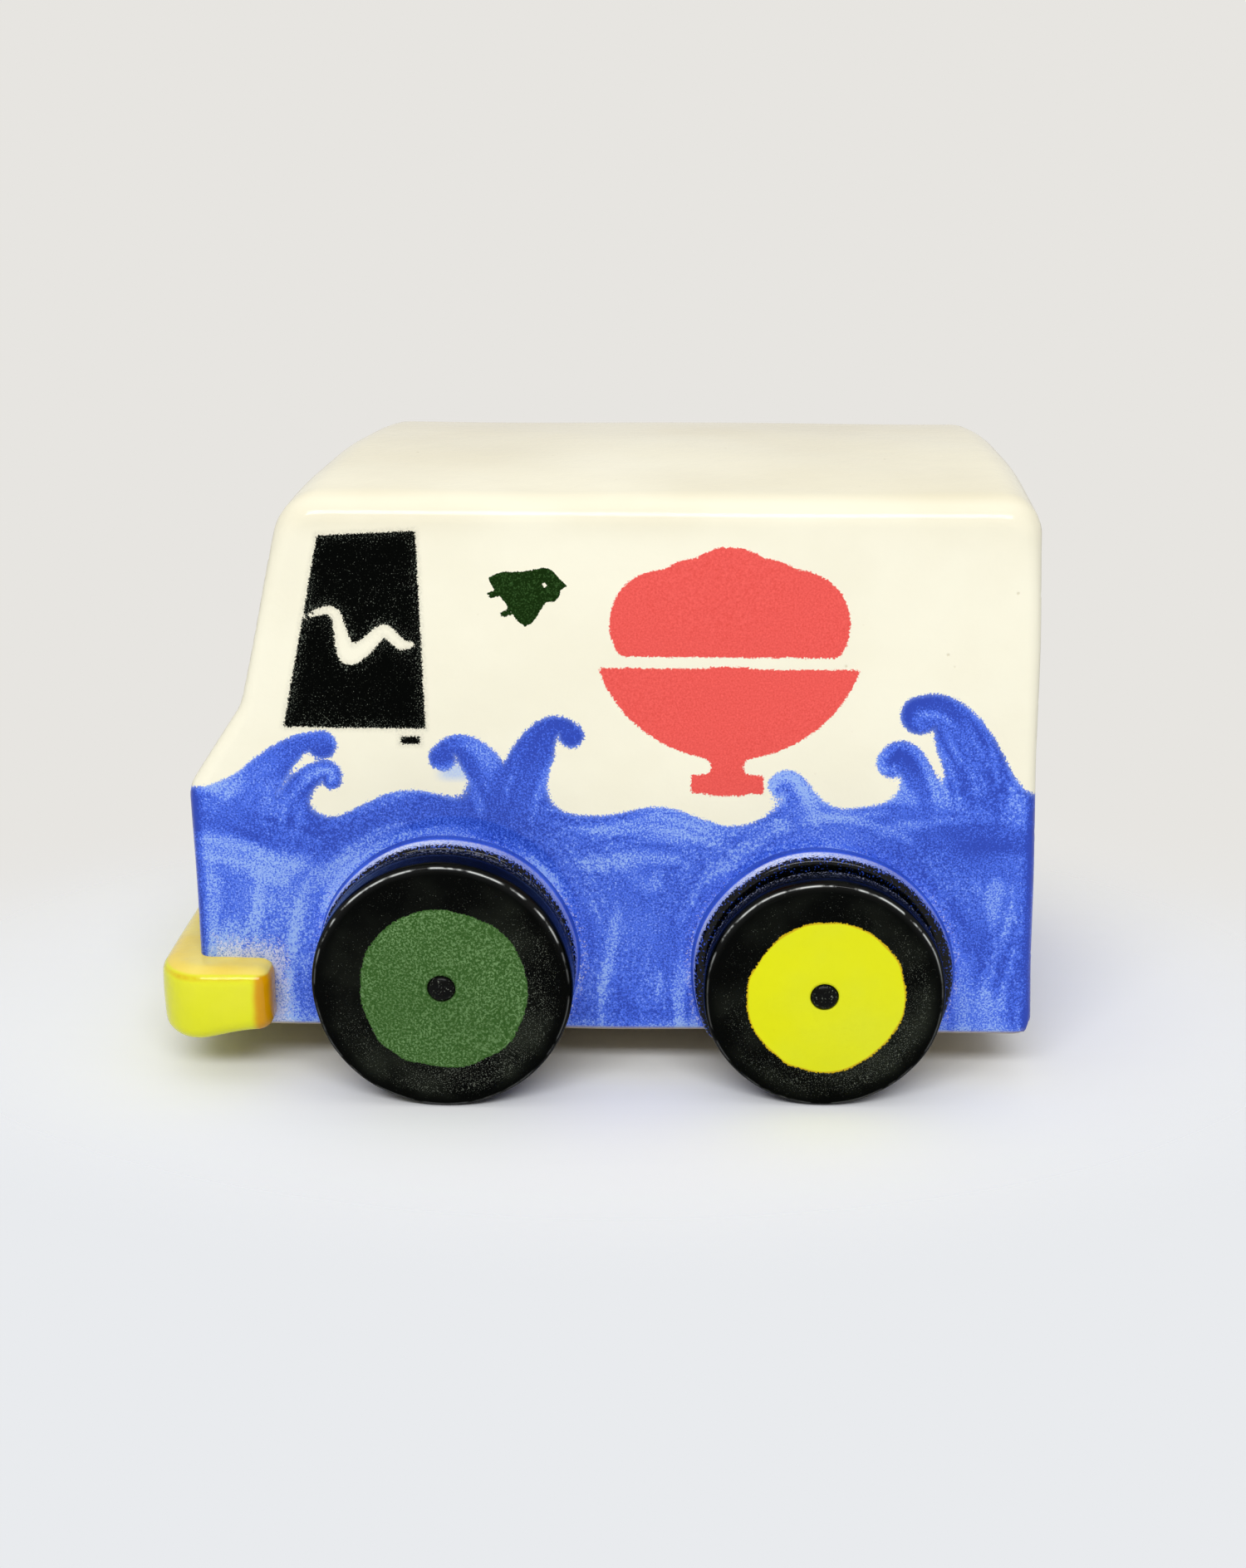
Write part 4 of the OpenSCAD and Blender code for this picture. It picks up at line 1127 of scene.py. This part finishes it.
class BuildBumper(bpy.types.Operator):
    """Builds the bumper as a soft bar bent round the nose"""

    bl_idname = "ice_truck.build_bumper"
    bl_label = "Build bumper"

    def execute(self, context):
        b = context.scene.ice_truck_body
        lower, upper = low("bumper"), high("bumper")
        tall, thick = upper[2] - lower[2], NOSE - lower[0]
        r, edge = b.bumper_round * MM, b.edge_round * MM
        bulge, droop, leg_rise, sunk = 0.45, 0.6, 2.4, 0.8

        def plan(x, y):
            return round_meet(np.maximum(NOSE - x, x - TAIL), np.abs(y) - HALF_W, edge)

        def field(p):
            x, y, z = p.T
            swell = 0.3 * np.sin(y * 0.16 + 0.5) + 0.2 * np.sin(x * 0.3 + z * 0.4 + y * 0.07)
            out = plan(x, y)
            crown = bulge * (1 - ((z - lower[2]) / tall * 2 - 1) ** 2)
            foot = lower[2] - droop + leg_rise * eased((x - NOSE + 3) / 15)
            rise = np.abs(z - (foot + upper[2]) / 2) - (upper[2] - foot) / 2
            d = round_meet(out - thick + bulge - crown - 0.25 * swell, rise + 0.25 + 0.2 * swell, r)
            d = np.maximum(d, -out - sunk)
            return round_meet(d, x - upper[0] + 0.2, r)

        points, quads = net_surface(field, lower - 1.7, upper + 1.7, (0.55, 0.75, 0.55))
        points, facing = settle(points, field)
        x, y, z = points.T
        top = eased((facing[:, 2] - 0.45) / 0.4)
        shaded_leg_end = eased((x - upper[0] + 4.6) / 3.2)
        rim = bell(facing[:, 2], 0.5, 0.22)
        underside = eased((0.14 - (z - lower[2]) / tall) / 0.14)
        # Amber on the ends of the legs is painted shade; along the upper edge and the bottom it is the glaze
        # breaking to amber
        amber = np.maximum(shaded_leg_end * 1.05, rim * 0.5) + 0.3 * underside
        piece = new_piece("glazed_bumper", points, quads, bumper_glaze(context.scene.ice_truck_glaze), {
            "amber": amber * (1 - 0.8 * top),
            "straw": top * eased((thick - plan(x, y)) / 1.6),
        })
        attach(piece, "body")
        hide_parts("bumper")
        return {"FINISHED"}


def wheel_loop(rim, bore, thick):
    """Closed loop of (radius, offset) round a wheel's section, with rounded edges."""
    quarter = np.linspace(0, math.pi / 2, 25)[1:]
    outer, inner = rim - OUTER_ROUND, rim - INNER_ROUND
    parts = (
        (np.linspace(bore, outer, 40), thick),
        (outer + OUTER_ROUND * np.sin(quarter), thick - OUTER_ROUND + OUTER_ROUND * np.cos(quarter)),
        (rim, np.linspace(thick - OUTER_ROUND, INNER_ROUND, 14)[1:]),
        (inner + INNER_ROUND * np.cos(quarter), INNER_ROUND - INNER_ROUND * np.sin(quarter)),
        (np.linspace(inner, bore, 14)[1:], 0.0),
        (bore, np.linspace(0, thick, 8)[1:-1]),
    )
    return np.concatenate([np.stack(np.broadcast_arrays(r, o), 1) for r, o in parts])


def wheel_shape(axle, end, side, section):
    """Points of one uneven wheel, and the fields for its glaze."""
    radius, offset, theta = section
    rim, thick, bore = axle.rim, axle.outer - axle.inner, axle.rod + GLUE
    seed = 71 + (5 if side > 0 else 0) + (11 if end == "rear" else 0)
    lump, dome_h, sway_h = 0.5, 0.25, 0.3
    u, v = np.cos(theta), np.sin(theta)

    def noise(step, size):
        return smooth_noise(seed + step, u * size, v * size)

    # Lumps fade where the wheel stands on the ground at rest, and the tread has two shallow grooves
    lumpy = noise(0, 1.6) * 0.7 + noise(1, 4) * 0.3
    grounded = eased((np.abs(np.angle(np.exp(1j * (theta + math.pi / 2)))) - 0.1) / 0.5)
    share = eased((radius - rim * 0.45) / (rim * 0.5))
    tread = eased((radius - rim + 0.2) / 0.2)
    groove = 0.16 * bell(offset, 1.9, 0.35) + 0.12 * bell(offset, 3.6, 0.4)
    reach = radius + lump * (0.5 - lumpy) * grounded * share - tread * groove * (0.6 + 0.8 * noise(2, 3))
    face = eased((offset - thick + 0.4) / 0.4)
    dome = -dome_h * eased((radius - rim * 0.72) / (rim * 0.3)) * face
    sway = (noise(3, radius * 0.12) - 0.5) * sway_h * face * eased((radius - bore - 1.0) / 3.0)
    points = np.stack([
        axle.x + reach * u, side * (axle.inner + offset + dome + sway), axle.z + reach * v,
    ], 1)

    off_centre = 0.4 if end == "front" else 0.2
    away = np.hypot(reach * u - off_centre, reach * v + 0.2)
    uneven = (noise(4, 1.3) - 0.5) * 0.7 + (noise(5, 4.5) - 0.5) * 0.5
    low_side = 0.42 + 0.18 * (0.6 * u - v)
    bow = np.arctan2(offset - thick + OUTER_ROUND, radius - rim + OUTER_ROUND)
    upper = eased((v - 0.1) / 0.6)
    on_edge = radius > rim - OUTER_ROUND
    return points, {
        "disc": np.where(offset > thick - 0.5, away - axle.disc - uneven, FAR),
        "grit": np.where(face > 0.5, low_side * eased((rim - 0.6 - radius) / 3.0), 0.05),
        "gloss": 0.02 + 0.3 * bell(bow, 0.9, 0.4) * on_edge * upper,
        # The rim's pale line is a painted highlight, strongest on the upper part of the wheel
        "rim": bell(bow, 0.9, 0.08) * on_edge * (0.12 + 0.88 * upper),
        # Share of the painted reflection of the blue flank on the inner tread
        "tread_reflection": eased((4.2 - offset) / 4.0) * (radius > rim - INNER_ROUND),
    }


class BuildWheels(bpy.types.Operator):
    """Builds the four disc wheels with their discs of colour"""

    bl_idname = "ice_truck.build_wheels"
    bl_label = "Build wheels"

    def execute(self, context):
        for end, axle in AXLES.items():
            material = wheel_glaze(context.scene.ice_truck_glaze, end)
            loop = wheel_loop(axle.rim, axle.rod + GLUE, axle.outer - axle.inner)
            *section, quads = turned(loop, 180)
            for side, name in SIDES:
                points, fields = wheel_shape(axle, end, side, section)
                faces = quads if side < 0 else quads[:, ::-1]
                piece = new_piece(f"glazed_wheel_{end}_{name}", points, faces, material, fields)
                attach(piece, f"{end}_wheelset")
                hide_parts(f"wheel_{end}_{name}")
                if side < 0:
                    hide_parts(f"disc_paint_{end}")
        return {"FINISHED"}


class BuildAxles(bpy.types.Operator):
    """Builds the two axle rods with their domed ends"""

    bl_idname = "ice_truck.build_axles"
    bl_label = "Build axles"

    def execute(self, context):
        material = axle_glaze(context.scene.ice_truck_glaze)
        segments = 48
        for end, axle in AXLES.items():
            shoulder = axle.reach - AXLE_DOME
            crown = np.linspace(0.06, math.pi / 2, 9)
            dome = [(axle.rod * math.sin(a), shoulder + AXLE_DOME * math.cos(a)) for a in crown]
            shaft = [(axle.rod, o) for o in np.linspace(shoulder, -shoulder, 60)[1:-1]]
            loop = dome + shaft + [(r, -o) for r, o in dome[::-1]]
            radius, offset, theta, quads = turned(loop, segments)
            u, v = np.cos(theta), np.sin(theta)
            uneven = smooth_noise(83, offset * 0.35, u, v) - 0.7
            radius = radius + 0.07 * uneven * eased(radius - 0.6)
            points = np.stack([axle.x + radius * u, offset, axle.z + radius * v], 1)
            tips = [(axle.x, axle.reach, axle.z), (axle.x, -axle.reach, axle.z)]
            # The loop stays open, and each end is closed by a fan about its tip
            faces = quads[:-segments, ::-1].tolist()
            first_tip, last_tip, last_ring = len(points), len(points) + 1, len(points) - segments
            for k in range(segments):
                after = (k + 1) % segments
                faces += [[after, k, first_tip], [last_ring + k, last_ring + after, last_tip]]
            piece = new_piece(f"glazed_axle_{end}", np.concatenate([points, tips]), faces, material)
            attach(piece, f"{end}_wheelset")
            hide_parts(f"axle_{end}")
        return {"FINISHED"}


# Stage


def floor_paper(look):
    """Pale paper that turns a little warmer behind the truck and fades into the air far away."""
    material = bpy.data.materials.new("Pale floor paper")
    material.use_nodes = True
    material.node_tree.nodes.clear()
    n = Nodes(material.node_tree)
    at = n.place()
    behind = n.span(n.add("ShaderNodeSeparateXYZ", {0: at}).outputs["Y"], 0.02, 0.2)
    fibre = n.add("ShaderNodeMapping", {"Vector": at, "Scale": (18.0, 260.0, 1.0)})
    grain = n.times(n.centred(n.noise(fibre.outputs[0], 1.0, 3.0)), 0.05)
    base = n.mix(behind, look.floor, look.air)
    base = n.mix(n.math("ADD", grain, 0.02, clamp=True), base, tint("c4c8cc"))
    seen = n.add("ShaderNodeLightPath").outputs["Is Camera Ray"]
    lift = n.blend(seen, 1.0, look.floor_lift)
    lifted = n.add("ShaderNodeVectorMath", {0: base, "Scale": lift}, operation="SCALE").outputs["Vector"]
    shader = n.add("ShaderNodeBsdfDiffuse", {"Color": lifted})
    clear = n.add("ShaderNodeBsdfTransparent")
    oval = n.add("ShaderNodeMapping", {"Vector": at, "Scale": (0.7, 1.0, 1.0)})
    away = n.add("ShaderNodeVectorMath", {0: oval.outputs[0]}, operation="LENGTH").outputs["Value"]
    below = n.add("ShaderNodeNewGeometry").outputs["Backfacing"]
    share = n.times(n.most(n.span(away, 0.055, 0.115), below), seen)
    fade = n.add("ShaderNodeMixShader", {0: share, 1: shader.outputs[0], 2: clear.outputs[0]})
    n.add("ShaderNodeOutputMaterial", {"Surface": fade.outputs[0]})
    return material


def studio_air(look):
    """Air that is at full strength where it is seen or mirrored, and lights the clay most from overhead."""
    world = bpy.data.worlds.new("Studio air")
    world.use_nodes = True
    world.node_tree.nodes.clear()
    n = Nodes(world.node_tree)
    path = n.add("ShaderNodeLightPath").outputs
    seen = n.most(n.most(path["Is Camera Ray"], path["Is Glossy Ray"]), path["Is Transmission Ray"])
    way = n.add("ShaderNodeTexCoord").outputs["Generated"]
    rise = n.add("ShaderNodeSeparateXYZ", {0: way}).outputs["Z"]
    tone = n.mix(n.span(rise, -0.42, -0.31), tint("e9ebee"), look.air)
    overhead = n.times(n.math("POWER", n.most(rise, 0.0), 2.0), look.dome)
    air = n.add("ShaderNodeBackground", {"Color": tone, "Strength": n.blend(seen, overhead, 1.0)})
    n.add("ShaderNodeOutputWorld", {"Surface": air.outputs[0]})
    return world


def soft_lamp(name, place, aim, size, power):
    """An area lamp that faces a point."""
    data = bpy.data.lights.new(name, "AREA")
    data.shape = "RECTANGLE"
    data.size, data.size_y = size
    data.energy = power
    lamp = bpy.data.objects.new(name, data)
    lamp.location = place
    lamp.rotation_euler = (Vector(aim) - Vector(place)).to_track_quat("-Z", "Y").to_euler()
    bpy.context.scene.collection.objects.link(lamp)


class BuildStage(bpy.types.Operator):
    """Sets the floor, the air, the soft lamp and the camera"""

    bl_idname = "ice_truck.build_stage"
    bl_label = "Build stage"

    def execute(self, context):
        scene, look = context.scene, context.scene.ice_truck_stage
        half, rows = 1.2, 9
        mesh = bpy.data.meshes.new("floor")
        steps = np.linspace(-half, half, rows)
        points = [(float(x), float(y), 0.0) for y in steps for x in steps]
        faces = [
            (k, k + 1, k + 1 + rows, k + rows)
            for j in range(rows - 1) for k in range(rows * j, rows * j + rows - 1)
        ]
        mesh.from_pydata(points, [], faces)
        mesh.materials.append(floor_paper(look))
        floor = bpy.data.objects.new("floor", mesh)
        scene.collection.objects.link(floor)

        scene.world = studio_air(look)
        soft_lamp("front_soft_lamp", (-0.05, -1.04, 0.95), (0, -0.04, 0.05), (1.2, 0.3), look.key)

        # The image is taken as 1500 by 1888 pixels, with its focal length in pixels
        image_h, focal = 1888, 2556.461
        down, turn = 17.965, 2.007
        data = bpy.data.cameras.new("photo_camera")
        data.sensor_fit = "AUTO"
        data.sensor_width = 36.0
        data.lens = focal * data.sensor_width / image_h
        data.clip_start, data.clip_end = 0.01, 20.0
        camera = bpy.data.objects.new("photo_camera", data)
        camera.location = (0.0169, -0.3894, 0.1671)
        camera.rotation_euler = (math.radians(90 - down), 0, math.radians(turn))
        scene.collection.objects.link(camera)
        scene.camera = camera
        scene.view_settings.view_transform = "Standard"
        return {"FINISHED"}


class IceTruckPanel(bpy.types.Panel):
    """Lists the pieces of the truck, with its sizes and colours"""

    bl_idname = "VIEW3D_PT_ice_truck"
    bl_label = "Ceramic Ice Truck"
    bl_space_type = "VIEW_3D"
    bl_region_type = "UI"
    bl_category = "Ice Truck"

    def draw(self, context):
        for operator in OPERATORS:
            self.layout.operator(operator.bl_idname)
        for name, (group, title) in SETTINGS.items():
            box = self.layout.box()
            box.label(text=title)
            for key in group.__annotations__:
                box.prop(getattr(context.scene, name), key)


OPERATORS = (BuildBody, BuildPads, BuildBumper, BuildWheels, BuildAxles, BuildStage)
SETTINGS = {
    "ice_truck_body": (BodyShape, "Body"),
    "ice_truck_paint": (PaintLayout, "Paint"),
    "ice_truck_glaze": (GlazeColours, "Glazes"),
    "ice_truck_stage": (StageLook, "Stage"),
}


def register():
    for group, _ in SETTINGS.values():
        bpy.utils.register_class(group)
    for cls in (*OPERATORS, IceTruckPanel):
        bpy.utils.register_class(cls)
    for name, (group, _) in SETTINGS.items():
        setattr(bpy.types.Scene, name, PointerProperty(type=group))


def unregister():
    for name in SETTINGS:
        delattr(bpy.types.Scene, name)
    for cls in (IceTruckPanel, *reversed(OPERATORS)):
        bpy.utils.unregister_class(cls)
    for group, _ in SETTINGS.values():
        bpy.utils.unregister_class(group)


def main():
    register()
    bpy.ops.ice_truck.build_body()
    bpy.ops.ice_truck.build_pads()
    bpy.ops.ice_truck.build_bumper()
    bpy.ops.ice_truck.build_wheels()
    bpy.ops.ice_truck.build_axles()
    bpy.ops.ice_truck.build_stage()


if __name__ == "__main__":
    main()
